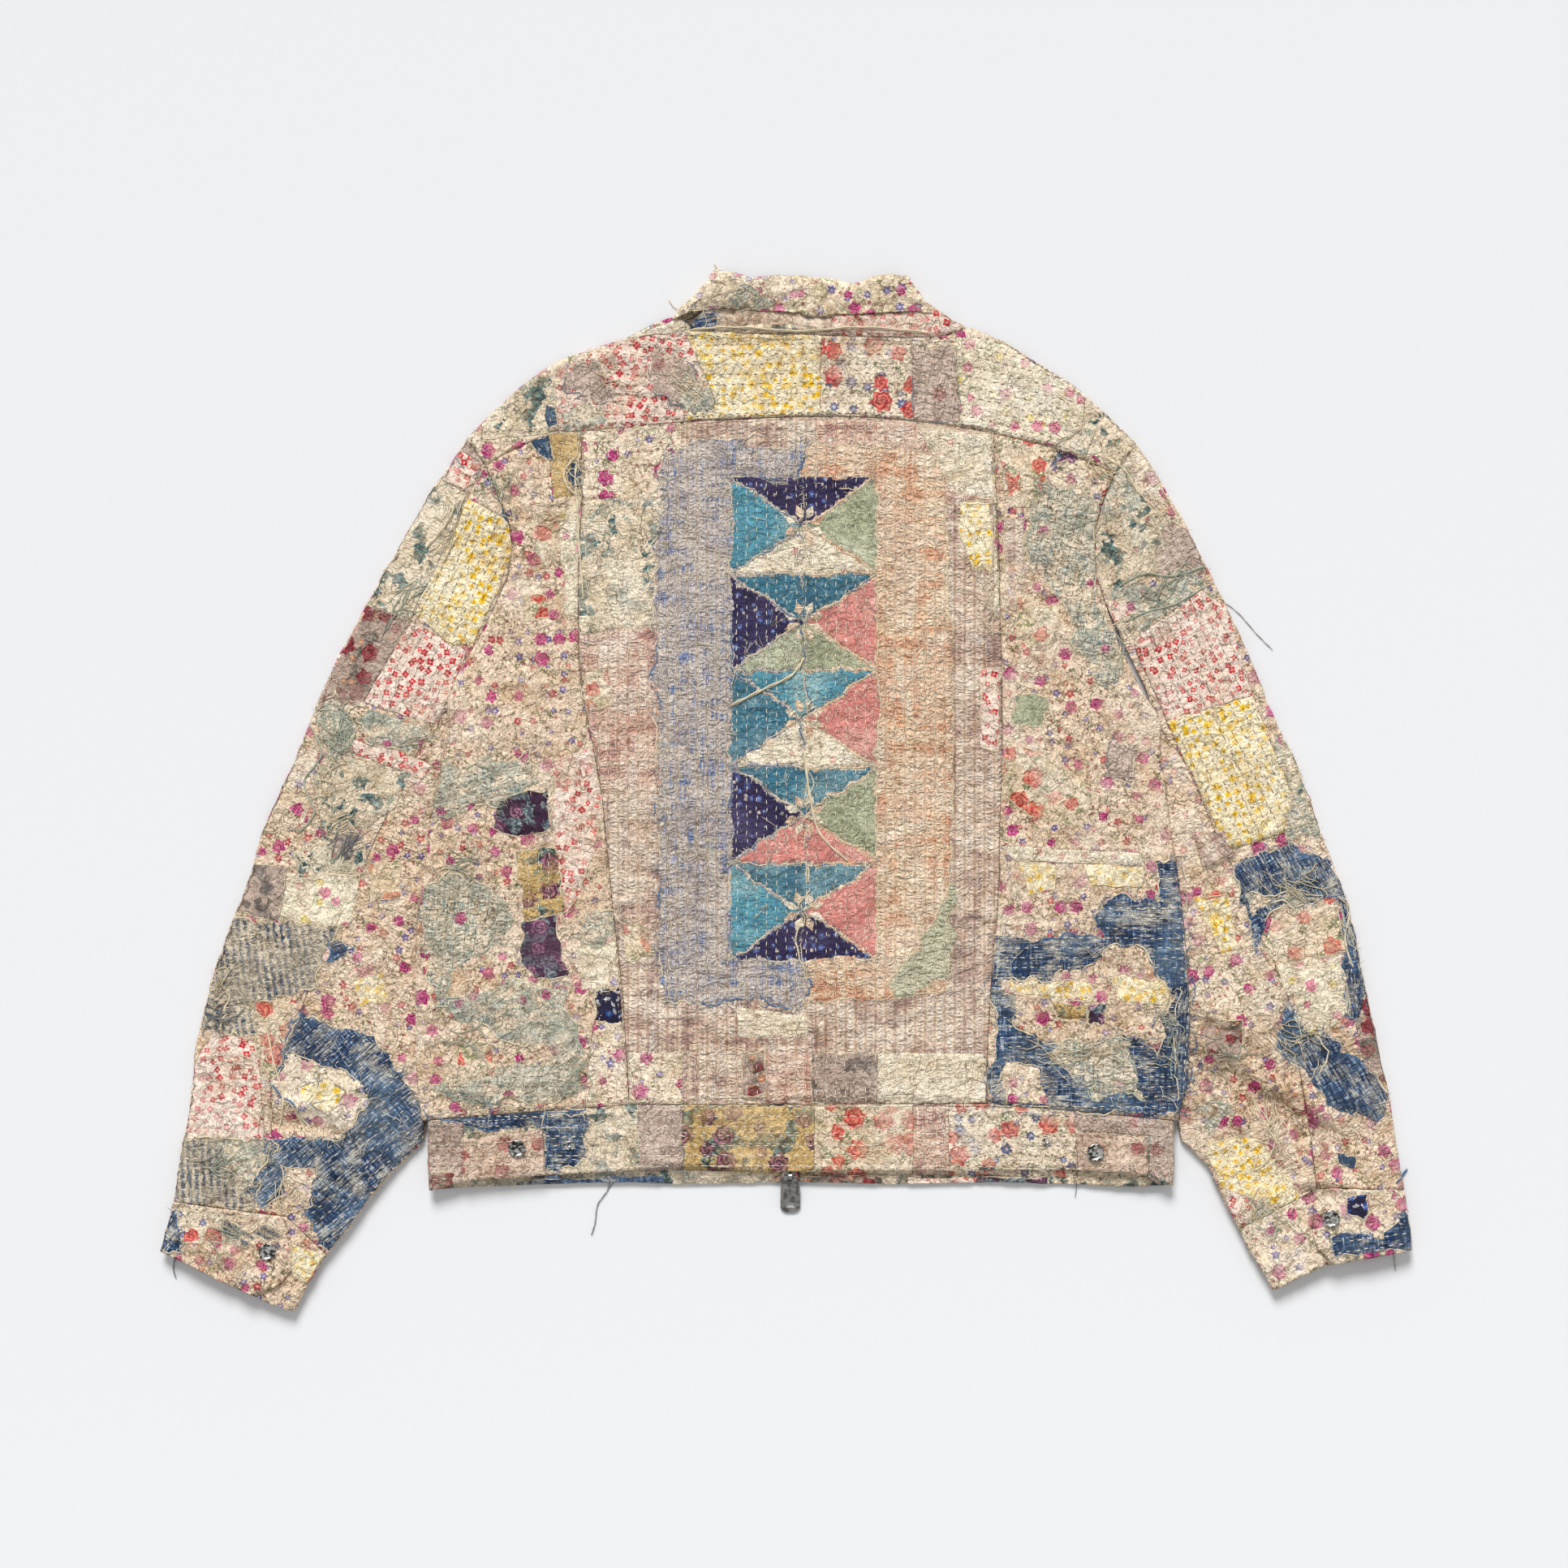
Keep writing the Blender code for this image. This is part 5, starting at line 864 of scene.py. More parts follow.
rightSidePatches = [
    ("coralRose", 0.1, 10, "", "162,282 213,270 206,250 197,222 176,222 172,250"),
    ("plumFloral", 0.4, 30, "", "212,268 232,264 226,252 210,255"),
    ("roseLawn", 0.3, -30, "dark", "212,256 240,262 236,240 216,234 206,246"),
    ("mauveCheck", 0.4, 90, "", "170,212 188,212 188,178 172,180"),
    ("sageGauze", 1.0, 80, "dark", "197,243 222,236 243,233 246,196 243,143 254,126 264,94 251,84 231,109 "
     "211,150 192,180 194,223"),
    ("coralRose", 0.3, -20, "", "170,36 206,30 240,-2 234,-29 194,-22 170,-4"),
    ("sageCotton", 0.5, 15, "", "180,76 206,72 202,50 178,52"),
    ("creamCloth", 0.0, -6, "", "168,-44 279,-50 282,-60 180,-56"),
    ("yellowBlossom", 0.3, -4, "", "182,-57 211,-59 211,-79 191,-83"),
    ("yellowBlossom", 0.2, -6, "", "234,-58 282,-62 280,-77 240,-75"),
    ("denimTwill", 0.9, 0, "white", "158,-119 200,-117 249,-119 243,-100 255,-85 294,-86 296,-58 310,-58 "
     "317,-149 320,-204 312,-256 209,-254 156,-248 163,-168"),
    ("ditsyLawn", 0.8, 3, "", "171,-145 203,-149 243,-143 252,-125 279,-125 301,-146 302,-174 295,-180 "
     "301,-195 289,-211 276,-198 218,-201 182,-195 178,-165 169,-162"),
    ("roseLawn", 0.7, 0, "", "172,-217 203,-220 206,-248 168,-246"),
    ("yellowBlossom", 0.3, 0, "", "175,-149 240,-152 240,-166 176,-162"),
    ("yellowBlossom", 0.5, 0, "", "258,-146 300,-149 301,-172 255,-168"),
    ("ochreLeaf", 0.4, 0, "", "209,-167 240,-169 237,-184 212,-181"),
    ("sageGauze", 1.0, 90, "dark", "205,-202 240,-200 273,-200 277,-238 240,-246 228,-222 209,-214"),
    ("denimTwill", 0.5, 86, "white", "308,-150 320,-149 322,-256 306,-256"),
    ("plumFloral", 0.5, 0, "", "238,-168 252,-168 250,-186 236,-184"),
    ("coralRose", 0.6, 20, "", "184,150 212,144 208,112 180,118"),
    ("mauveCloth", 0.8, 60, "", "256,40 276,30 272,0 252,8"),
]
leftSleevePatches = [
    ("mauveCloth", 0.5, 40, "dark", "-256,276 -240,284 -237,255 -248,246 -262,262"),
    ("redBlossom", 0.2, 50, "", "-262,272 -241,257 -250,233 -275,246"),
    ("tealLeaf", 0.2, 60, "", "-276,246 -252,233 -262,200 -271,176 -298,132 -334,146 -308,192"),
    ("roseLawn", 0.3, -50, "", "-238,257 -212,241 -214,212 -250,230"),
    ("inkCloth", 0.4, 20, "", "-228,232 -217,231 -214,203 -222,212"),
    ("yellowBlossom", 0.05, 64, "dark", "-251,230 -216,211 -214,193 -228,156 -247,116 -264,113 -294,140 "
     "-267,194"),
    ("maroonFloral", 0.2, 66, "", "-331,147 -297,133 -316,100 -334,69 -376,60 -360,92"),
    ("redBlossom", 0.05, 66, "dark", "-296,132 -252,109 -274,51 -334,68"),
    ("sageGauze", 0.9, 10, "", "-338,58 -296,57 -274,40 -296,25 -330,38"),
    ("redBlossom", 0.2, -14, "", "-350,44 -335,37 -296,27 -278,18 -288,8 -353,33"),
    ("tealLeaf", 0.1, -10, "", "-363,31 -296,13 -308,-14 -329,-30 -366,-30 -373,7"),
    ("roseLawn", 0.3, 60, "", "-382,44 -361,31 -374,-6 -381,-30 -420,-36 -400,8"),
    ("tealLeaf", 0.8, 5, "", "-379,-44 -355,-38 -332,-35 -334,-66 -384,-69"),
    ("paleSprig", 0.3, 2, "", "-394,-67 -335,-65 -344,-109 -402,-103"),
    ("mauveLeaf", 0.3, 10, "", "-424,-58 -391,-61 -400,-102 -437,-96"),
    ("ticking", 1.0, 8, "white", "-440,-98 -400,-104 -357,-112 -373,-158 -397,-164 -414,-193 -462,-188 "
     "-462,-172 -449,-124"),
    ("coralRose", 0.5, 10, "", "-422,-165 -381,-170 -394,-202 -407,-234 -419,-199"),
    ("redBlossom", 0.15, 4, "", "-452,-190 -416,-199 -411,-277 -480,-275 -470,-225"),
    ("ticking", 1.0, 4, "white", "-484,-276 -412,-276 -396,-282 -407,-308 -419,-334 -486,-326"),
    ("denimTwill", 0.9, 40, "white", "-397,-206 -384,-172 -360,-182 -322,-198 -308,-224 -284,-245 "
     "-284,-276 -320,-314 -353,-372 -374,-348 -387,-315 -407,-325 -420,-313 -404,-281 -370,-271 -407,-235"),
    ("roseLawn", 0.8, 20, "", "-396,-211 -368,-214 -335,-227 -328,-248 -348,-277 -374,-272 -406,-235"),
    ("yellowBlossom", 0.2, -20, "", "-385,-234 -361,-227 -347,-238 -360,-257 -384,-242"),
    ("ditsyLawn", 0.6, 60, "", "-397,-296 -371,-299 -373,-327 -395,-334"),
    ("denimTwill", 0.9, 20, "", "-362,-120 -341,-127 -361,-139"),
    ("yellowBlossom", 0.4, -10, "", "-343,-149 -318,-146 -311,-167 -336,-171"),
    ("coralRose", 0.5, 0, "", "-330,-60 -306,-56 -302,-86 -328,-88"),
    ("tealSpray", 0.8, 20, "", "-364,-22 -346,-16 -334,-26 -344,-38 -362,-36"),
    ("tealSpray", 0.8, -10, "", "-384,-50 -362,-44 -332,-42 -332,-66 -356,-62 -384,-70"),
    ("mauveLeaf", 0.9, 40, "", "-356,-34 -342,-30 -334,-40 -342,-52 -356,-48"),
    ("sageGauze", 1.0, 80, "", "-372,66 -350,74 -342,46 -356,24 -370,40"),
    ("sageGauze", 1.0, 20, "", "-446,-280 -420,-274 -404,-288 -414,-306 -440,-302"),
    ("ticking", 1.0, 60, "", "-462,-168 -446,-140 -440,-160 -452,-190"),
]
rightSleevePatches = [
    ("roseLawn", 0.3, -50, "", "266,256 279,271 293,243 313,208 297,214 270,242"),
    ("tealLeaf", 0.5, 30, "", "240,244 268,250 298,213 291,172 250,152 243,196"),
    ("sageGauze", 0.9, 20, "", "240,244 264,249 279,222 250,215"),
    ("mauveCloth", 0.6, -60, "", "298,217 324,202 334,176 294,162 287,190"),
    ("sageGauze", 1.0, -30, "", "252,160 290,166 324,178 338,154 300,132 281,118 256,128"),
    ("redBlossom", 0.05, -66, "dark", "272,116 326,158 347,143 367,74 302,49"),
    ("redBlossom", 0.3, -40, "", "251,147 268,150 271,136 253,128"),
    ("yellowBlossom", 0.05, -64, "dark", "299,55 367,74 398,-3 392,-34 348,-48"),
    ("sageGauze", 0.9, -70, "", "382,48 404,30 420,-14 424,-34 394,-38 398,-6"),
    ("tealLeaf", 0.3, -70, "", "392,40 410,10 416,-12 398,-4"),
    ("denimTwill", 0.9, -60, "white", "354,-64 372,-50 395,-40 427,-52 444,-84 408,-90 384,-100 374,-126 "
     "366,-92"),
    ("sageGauze", 1.0, -10, "", "368,-84 396,-74 420,-84 396,-92 372,-98"),
    ("coralRose", 0.3, -60, "", "386,-99 432,-84 440,-126 393,-138 376,-125"),
    ("paleSprig", 0.3, -70, "", "387,-139 440,-128 443,-174 418,-200 407,-199"),
    ("denimTwill", 0.8, -80, "white", "438,-84 452,-80 468,-160 451,-184 441,-174 437,-125"),
    ("maroonFloral", 0.2, -80, "", "453,-160 468,-160 482,-232 456,-226 449,-186"),
    ("denimTwill", 0.8, -60, "white", "393,-166 424,-207 420,-225 390,-209 383,-192"),
    ("denimTwill", 0.9, -60, "", "420,-190 454,-216 476,-238 468,-258 429,-248 416,-224"),
    ("roseLawn", 0.2, -60, "", "315,-131 373,-124 397,-165 380,-193 331,-181 315,-155"),
    ("coralRose", 0.3, -60, "", "327,-72 351,-67 354,-85 330,-88"),
    ("yellowBlossom", 0.3, -70, "", "321,-84 347,-84 357,-129 343,-129"),
    ("maroonFloral", 0.4, 20, "", "328,-185 360,-182 357,-208 330,-208"),
    ("yellowBlossom", 0.4, -50, "", "330,-277 368,-274 406,-318 399,-331 342,-313"),
    ("redBlossom", 0.3, -50, "", "344,-312 368,-325 362,-341 346,-335"),
    ("sageGauze", 1.0, -40, "", "362,-314 394,-330 380,-350 366,-346"),
    ("redBlossom", 0.3, -30, "", "396,-350 424,-354 418,-384 394,-384"),
    ("inkCloth", 0.3, -20, "", "432,-286 449,-289 449,-299 436,-294"),
    ("mauveCheck", 0.4, 30, "", "322,-36 346,-30 352,-56 326,-62"),
    ("tealSpray", 0.7, -40, "", "266,206 288,214 296,190 276,180"),
    ("sageGauze", 1.0, 40, "", "330,-248 346,-240 352,-262 336,-272"),
]
waistPatches = [
    ("mauveCloth", 0.1, 0, "dark", "-286,-258 -254,-262 -255,-309 -286,-320"),
    ("denimTwill", 0.6, 0, "white", "-284,-256 -184,-250 -160,-252 -160,-268 -190,-268 -256,-266"),
    ("denimTwill", 0.7, 0, "white", "-192,-256 -158,-256 -162,-289 -178,-303 -192,-299"),
    ("mauveCloth", 0.3, 0, "white", "-118,-246 -82,-246 -82,-300 -116,-302"),
    ("ochreLeaf", 0.0, 0, "white", "-82,-244 22,-242 22,-304 -82,-300"),
    ("coralRose", 0.0, 0, "white", "22,-242 100,-240 100,-304 22,-304"),
    ("pinkCheck", 0.1, 90, "white", "100,-240 128,-242 128,-304 100,-304"),
    ("redBlueFloral", 0.0, 0, "dark", "128,-242 226,-250 230,-306 128,-304"),
    ("mauveCloth", 0.1, 0, "dark", "226,-250 310,-256 308,-318 284,-306 288,-272 228,-268"),
    ("maroonFloral", 0.3, 0, "", "-284,-300 -262,-301 -262,-320 -284,-322"),
    ("denimTwill", 0.3, 0, "", "-212,-309 -96,-305 -96,-314 -212,-318"),
    ("maroonFloral", 0.3, 0, "", "-10,-305 76,-305 76,-314 -10,-314"),
    ("redBlossom", 0.2, 0, "", "96,-306 150,-306 150,-316 96,-316"),
    ("plumFloral", 0.3, 0, "", "150,-306 206,-307 206,-317 150,-316"),
    ("denimTwill", 0.3, 0, "white", "-190,-268 -158,-262 -164,-282 -186,-284"),
]
leftCuffPatches = [
    ("ticking", 0.9, 60, "", "-446,-336 -398,-346 -394,-358 -442,-354"),
    ("denimTwill", 0.7, 60, "white", "-496,-339 -480,-322 -476,-369 -498,-362"),
    ("redBlueFloral", 0.4, -20, "", "-479,-330 -442,-334 -445,-356 -477,-357"),
    ("yellowBlossom", 0.3, -30, "", "-389,-358 -362,-368 -371,-390 -389,-384"),
]
rightCuffPatches = [
    ("navyFloral", 0.3, 10, "", "440,-320 457,-317 456,-339 441,-334"),
    ("coralRose", 0.3, 10, "", "460,-318 478,-317 474,-326 460,-327"),
    ("denimTwill", 0.5, 8, "white", "426,-350 470,-352 486,-330 496,-332 494,-362 432,-366"),
]
collarPatches = [
    ("sageGauze", 0.8, -10, "", "-54,396 -30,394 -8,388 -26,374 -57,379"),
]
standPatches = [
    ("tealLeaf", 0.2, 0, "", "-84,364 -20,367 22,364 22,355 -84,355"),
    ("denimTwill", 0.6, 10, "", "-84,376 -52,376 -54,356 -84,356"),
    ("redBlossom", 0.1, 0, "", "33,374 77,376 136,378 138,352 77,354 37,354"),
]

# The figure on the back is left off. In its place: a plain lavender strip and a plain peach strip, and
# over their seam a column of five hourglass quilt blocks, each with a ring of plain petals.
middlePatches = [
    ("lavenderGauze", 0.9, 90, "white", "-100,268 -40,274 14,272 14,-170 -96,-166 -104,40"),
    ("peachGauze", 0.5, 90, "white", "14,272 70,270 124,262 132,60 126,-160 14,-170"),
    ("paleSage", 0.8, 90, "white", "124,-76 133,-80 128,-150 92,-164 78,-156 104,-126"),
]
column = dict(left=-44, right=72, seam=14, top=246, block=76)
petals = dict(count=8, inner=4, widest=11, outer=17, halfWidth=3.6)  # mm from the middle of a block
blockCloths = [  # left, right, top and foot of each block
    ("turquoiseCloth", "sageCotton", "navyDot", "creamCloth"),
    ("navyDot", "salmonJacquard", "tealCloth", "sageCotton"),
    ("tealCloth", "salmonJacquard", "turquoiseCloth", "creamCloth"),
    ("navyDot", "sageCotton", "tealCloth", "salmonJacquard"),
    ("turquoiseCloth", "salmonJacquard", "tealCloth", "navyDot")]
for row, (left, right, head, foot) in enumerate(blockCloths):
    x0, x1, mid = column["left"], column["right"], column["seam"]
    y1 = column["top"] - row * column["block"]
    y0 = y1 - column["block"]
    y = (y0 + y1) / 2
    middlePatches += [
        (left, 0.45, 90, "white", [(x0, y1), (x0, y0), (mid, y)]),
        (foot, 0.4, 90, "white", [(x0, y0), (x1, y0), (mid, y)]),
        (right, 0.45, 90, "white", [(x1, y0), (x1, y1), (mid, y)]),
        (head, 0.4, 90, "white", [(x1, y1), (x0, y1), (mid, y)]),
    ]
    inner, widest, outer, half = (petals[part] for part in ("inner", "widest", "outer", "halfWidth"))
    for turn in range(petals["count"]):
        grain = 360 / petals["count"] * turn
        a = math.radians(grain + 180 / petals["count"])
        u, v = math.cos(a), math.sin(a)
        middlePatches.append(("creamCloth" if turn % 2 else "peachGauze", 0.05, grain, "", [
            (mid + u * inner, y + v * inner), (mid + u * widest - v * half, y + v * widest + u * half),
            (mid + u * outer, y + v * outer), (mid + u * widest + v * half, y + v * widest - u * half)]))
centrePatches += middlePatches

quilts = {
    "back_yoke": dict(patches=yokePatches, flat=(0.54, 0.12), area=0.035, slot="cream_print"),
    "back_side_left": dict(patches=leftSidePatches, flat=(0.165, 0.54), area=0.032, slot="sage_cloth"),
    "back_centre": dict(patches=centrePatches, flat=(0.38, 0.56), area=0.206, slot="blue_cloth"),
    "back_side_right": dict(patches=rightSidePatches, flat=(0.165, 0.54), area=0.056, slot="denim"),
    "sleeve_left": dict(on=("sleeve_upper_left", "sleeve_under_left"), patches=leftSleevePatches,
                        flat=(0.24, 0.62), area=0.074, slot="yellow_print"),
    "sleeve_right": dict(on=("sleeve_upper_right", "sleeve_under_right"), patches=rightSleevePatches,
                         flat=(0.24, 0.6), area=0.054, slot="red_print"),
    "waistband": dict(patches=waistPatches, flat=(0.59, 0.06), area=0.027, slot="mauve_print"),
    "cuff_left": dict(patches=leftCuffPatches, flat=(0.1, 0.04), area=0.0025, slot="denim"),
    "cuff_right": dict(patches=rightCuffPatches, flat=(0.07, 0.03), area=0.0016, slot="denim"),
    "collar_fall": dict(patches=collarPatches, flat=(0.05, 0.025), area=0.0009, slot="sage_cloth"),
    "collar_stand": dict(patches=standPatches, flat=(0.14, 0.03), area=0.004, slot="red_print"),
}
fringeOf = {"denimTwill": "blueYarn", "sageGauze": "sageYarn", "ticking": "ecruYarn",
            "mauveCloth": "greyYarn", "lavenderGauze": "blueYarn", "tealCloth": "blueYarn",
            "turquoiseCloth": "blueYarn", "navyDot": "blueYarn"}


def insideOf(outline, x, y):  # x and y are arrays
    inside = np.zeros(x.shape, bool)
    for (x0, y0), (x1, y1) in zip(outline, outline[1:] + outline[:1]):
        if y0 != y1:
            crossing = (y0 > y) != (y1 > y)
            inside ^= crossing & (x < (x1 - x0) * (y - y0) / (y1 - y0) + x0)
    return inside


def fromEdge(x, y, ex, ey):  # how far each point lies from the nearest point of the edge
    return np.min(np.hypot(x[:, None] - ex, y[:, None] - ey), axis=1)


edgeStep = 2.5  # mm from point to point along an edge


def unevenEdge(outline, fray):  # the cut line, straighter where it is hemmed
    points = []
    for (x0, y0), (x1, y1) in zip(outline, outline[1:] + outline[:1]):
        length = math.hypot(x1 - x0, y1 - y0)
        count = max(2, round(length / edgeStep))
        for k in range(count):
            t = k / count
            points.append((x0 + (x1 - x0) * t, y0 + (y1 - y0) * t))
    points = np.array(points)
    x, y = points[:, 0], points[:, 1]
    for axis, seed in ((0, 31), (1, 32)):
        points[:, axis] += ((0.5 + 3.4 * fray) * softNoise(x, y, 9, seed)
                            + (0.2 + 1.9 * fray) * softNoise(x, y, 3.1, seed + 4)
                            + 6.5 * fray ** 2 * softNoise(x, y, 21, seed + 8))
    return [tuple(p) for p in points]


clothTop, search, farthest = 12 * mm, 14 * mm, 9 * mm  # from where, and how far off, an edge is sought


def layPoint(tree, x, y):  # on the cloth at x, y, or on its nearest edge; mm in, metres out
    z = heightOn(tree, x * mm, y * mm)
    if z is not None:
        return x * mm, y * mm, z
    near = tree.find_nearest(Vector((x * mm, y * mm, clothTop)), search)
    if near[0] is None or math.hypot(near[0].x - x * mm, near[0].y - y * mm) > farthest:
        return None
    return near[0].x, near[0].y, near[0].z


step = 2.5  # mm between the points of a patch
layerRise = 0.32  # mm that each layer of patches stands above the one below
smallPatch = 300  # mm2
sewn = []  # every patch as laid, for its stitches and fringe


def sewQuilt(name, quilt):
    tree = treeOf([pieces[n] for n in quilt.get("on", (name,))])
    corners, faces, cloth, cut, names, levels = [], [], [], [], [], []
    for clothName, fray, grain, stitch, outline in quilt["patches"]:
        edge = unevenEdge(pointsOf(outline) if isinstance(outline, str) else outline, fray)
        ex, ey = np.array(edge).T
        gx, gy = np.meshgrid(np.arange(ex.min(), ex.max(), step), np.arange(ey.min(), ey.max(), step * 0.87))
        gx[1::2] += step / 2
        gx, gy = gx.ravel(), gy.ravel()
        keep = insideOf(edge, gx, gy)
        gx, gy = gx[keep], gy[keep]
        if len(gx):
            keep = fromEdge(gx, gy, ex, ey) > step * 0.55
            gx, gy = gx[keep], gy[keep]
        spotX, spotY = (gx, gy) if len(gx) else (ex, ey)
        level = 1 + max([l for other, l in levels if insideOf(other, spotX, spotY).mean() > 0.02] or [0])
        levels.append((edge, level))
        flat = [Vector(p) for p in edge] + [Vector(p) for p in zip(gx, gy)]
        at, _, triangles = delaunay_2d_cdt(flat, [], [list(range(len(edge)))], 1, 1e-4)[:3]
        firm = (0.36 if level > 3 else 0.3) + layerRise * level
        x, y = np.array([p.x for p in at]), np.array([p.y for p in at])
        rim = fromEdge(x, y, ex, ey)
        small = (ex.max() - ex.min()) * (ey.max() - ey.min()) < smallPatch
        low = 0.36 + layerRise * (level - 1) if small else 0  # a small one lies wholly above the one below
        lift = low + (firm - low) * np.clip(rim / 1.6 + 0.1, 0, 1)
        lift += fray * 0.9 * np.clip(softNoise(x, y, 6, 41), -0.2, 1) * np.exp(-rim / 3)
        lift += 0.3 * (1 - fray) * np.exp(-((rim - 2.2) / 1.4) ** 2)
        place = {}
        shift = (dice.uniform(0, 400), rowGap * dice.randint(0, 60))
        c, s = math.cos(math.radians(grain)), math.sin(math.radians(grain))
        for i, p in enumerate(at):
            spot = layPoint(tree, p.x, p.y)
            if spot is not None:
                place[i] = len(corners)
                corners.append((spot[0], spot[1], spot[2] + lift[i] * mm))
                cut.append((c * p.x + s * p.y + shift[0], -s * p.x + c * p.y + shift[1], 0))
        if clothName not in names:
            names.append(clothName)
        for face in triangles:
            if all(i in place for i in face):
                faces.append([place[i] for i in face])
                cloth.append(names.index(clothName))
        sewn.append(dict(quilt=name, edge=edge, fray=fray, grain=grain, stitch=stitch, cloth=clothName))
    mesh = bpy.data.meshes.new("quilt_" + name)
    mesh.from_pydata(corners, [], faces)
    mesh.update()
    layer = mesh.attributes.new("cut", "FLOAT_VECTOR", "POINT")
    layer.data.foreach_set("vector", np.array(cut, np.float32).ravel())
    at = np.array(corners) / mm
    setSoilAndShade(mesh, at[:, 0], at[:, 1])
    for clothName in names:
        mesh.materials.append(cloths[clothName])
    mesh.polygons.foreach_set("material_index", cloth)
    return linkPiece("quilt_" + name, mesh)


quiltPieces = {name: sewQuilt(name, quilt) for name, quilt in quilts.items()}
print("quilts:", {name: len(piece.data.polygons) for name, piece in quiltPieces.items()})
largePatches = {  # the solids that each quilt takes the place of
    "back_yoke": ["patch_yellow_yoke", "patch_red_yoke"],
    "back_centre": ["patch_blue_half", "patch_peach_half"],
    "back_side_left": ["patch_sage_left_side"],
    "back_side_right": ["patch_denim_right_side"],
    "sleeve_left": ["patch_yellow_left_sleeve", "patch_red_left_sleeve", "patch_stripe_left_sleeve",
                    "patch_red_left_forearm", "patch_denim_left_forearm"],
    "sleeve_right": ["patch_red_right_sleeve", "patch_yellow_right_sleeve", "patch_denim_right_sleeve",
                     "patch_denim_right_forearm"],
}
for quilt, patchNodes in largePatches.items():
    for node in patchNodes:
        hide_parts(node)

# Hand stitching, fringes and loose yarn, laid on the finished cloth
surface = treeOf([*pieces.values(), *quiltPieces.values()])
strands = {name: dict(corners=[], faces=[]) for name in threadShades}


def addStrand(shade, path, radius, sides=3):  # a thin tube along points in metres, closed to a tip
    store = strands[shade]
    first, count = len(store["corners"]), len(path)
    for k, point in enumerate(path):
        here = Vector(point)
        way = (Vector(path[min(k + 1, count - 1)]) - Vector(path[max(k - 1, 0)])).normalized()
        side = way.cross(Vector((0, 0, 1)))
        side = side.normalized() if side.length > 1e-6 else Vector((1, 0, 0))
        up = side.cross(way)
        thick = radius * (0.35 if k in (0, count - 1) else 1.0)
        for j in range(sides):
            a = 2 * math.pi * j / sides
            store["corners"].append(here + (side * math.cos(a) + up * math.sin(a)) * thick)
    for k in range(count - 1):
        for j in range(sides):
            a, b = first + k * sides + j, first + k * sides + (j + 1) % sides
            store["faces"].append((a, b, b + sides, a + sides))


def pathOver(points):  # x, y and height over the finished cloth in mm; only those that have cloth below
    path = [(x * mm, y * mm, heightOn(surface, x * mm, y * mm), above * mm) for x, y, above in points]
    return [(x, y, z + above) for x, y, z, above in path if z is not None]


def addStitch(shade, x, y, angle, length, radius=0.36):  # mm; one running stitch, its ends pulled in
    u, v = math.cos(angle) * length / 2, math.sin(angle) * length / 2
    path = pathOver([(x - u, y - v, -0.12), (x, y, 0.22), (x + u, y + v, -0.12)])
    if len(path) == 3:
        addStrand(shade, path, radius * mm, 4)


stitchShade = {"dark": "darkThread", "white": "whiteThread"}
byQuilt = {}
for patch in sewn:
    byQuilt.setdefault(patch["quilt"], []).append(patch)
for patches in byQuilt.values():
    for number, patch in enumerate(patches):
        if not patch["stitch"]:
            continue
        over = [other["edge"] for other in patches[number + 1:]]
        angle = math.radians(patch["grain"])
        c, s = math.cos(angle), math.sin(angle)
        ex, ey = np.array(patch["edge"]).T
        u, v = c * ex + s * ey, -s * ex + c * ey
        rows = np.arange(math.ceil(v.min() / rowGap) * rowGap, v.max(), rowGap)
        for row in rows:
            us = np.arange(u.min() + dice.uniform(0, 5), u.max(), stitchPitch)
            us = us + np.array([dice.uniform(-0.7, 0.7) for _ in us])
            vs = row + np.array([dice.gauss(0, 0.3) for _ in us])
            x, y = c * us - s * vs, s * us + c * vs
            keep = insideOf(patch["edge"], x, y)
            for other in over:
                keep &= ~insideOf(other, x, y)
            for px, py in zip(x[keep], y[keep]):
                if dice.random() < 0.93:
                    addStitch(stitchShade[patch["stitch"]], px, py, angle + dice.gauss(0, 0.09),
                              dice.uniform(3.2, 4.6))
print("hand stitches laid")

topstitching = [  # line, distance to each side in mm, thread
    ("yoke", 3.2, "darkThread"), ("sideLeft", -3.4, "ecruYarn"), ("sideRight", 3.4, "ecruYarn"),
    ("waist", 3.4, "ecruYarn"), ("waist", -4.4, "whiteThread"), ("armLeft", 3.2, "ecruYarn"),
    ("armRight", -3.2, "ecruYarn"),
]
rowsOfStitches = [(seams[name], aside, shade, 3.0, 5.0) for name, aside, shade in topstitching]
hem = pointsOf("-280,-307 -200,-302 -120,-297 -40,-296 60,-297 158,-297 230,-301 300,-305")
rowsOfStitches += [(hem, aside, "whiteThread", 4.2, 7.4) for aside in (0, 8.5, 17, 26)]
tabAndCollarRows = [
    ("-254,-271 -195,-266", "darkThread", 3, 5.2), ("-253,-303 -193,-299", "darkThread", 3, 5.2),
    ("-250,-280 -196,-276", "darkThread", 4, 7), ("-250,-292 -196,-288", "darkThread", 4, 7),
    ("231,-272 281,-276", "darkThread", 3, 5.2), ("231,-296 281,-299", "darkThread", 3, 5.2),
    ("-78,376 20,372 118,376", "ecruYarn", 3, 5),
    ("-86,384 -60,404 20,408 90,404 112,384", "ecruYarn", 3, 5),
]
rowsOfStitches += [(pointsOf(line), 0, *look) for line, *look in tabAndCollarRows]
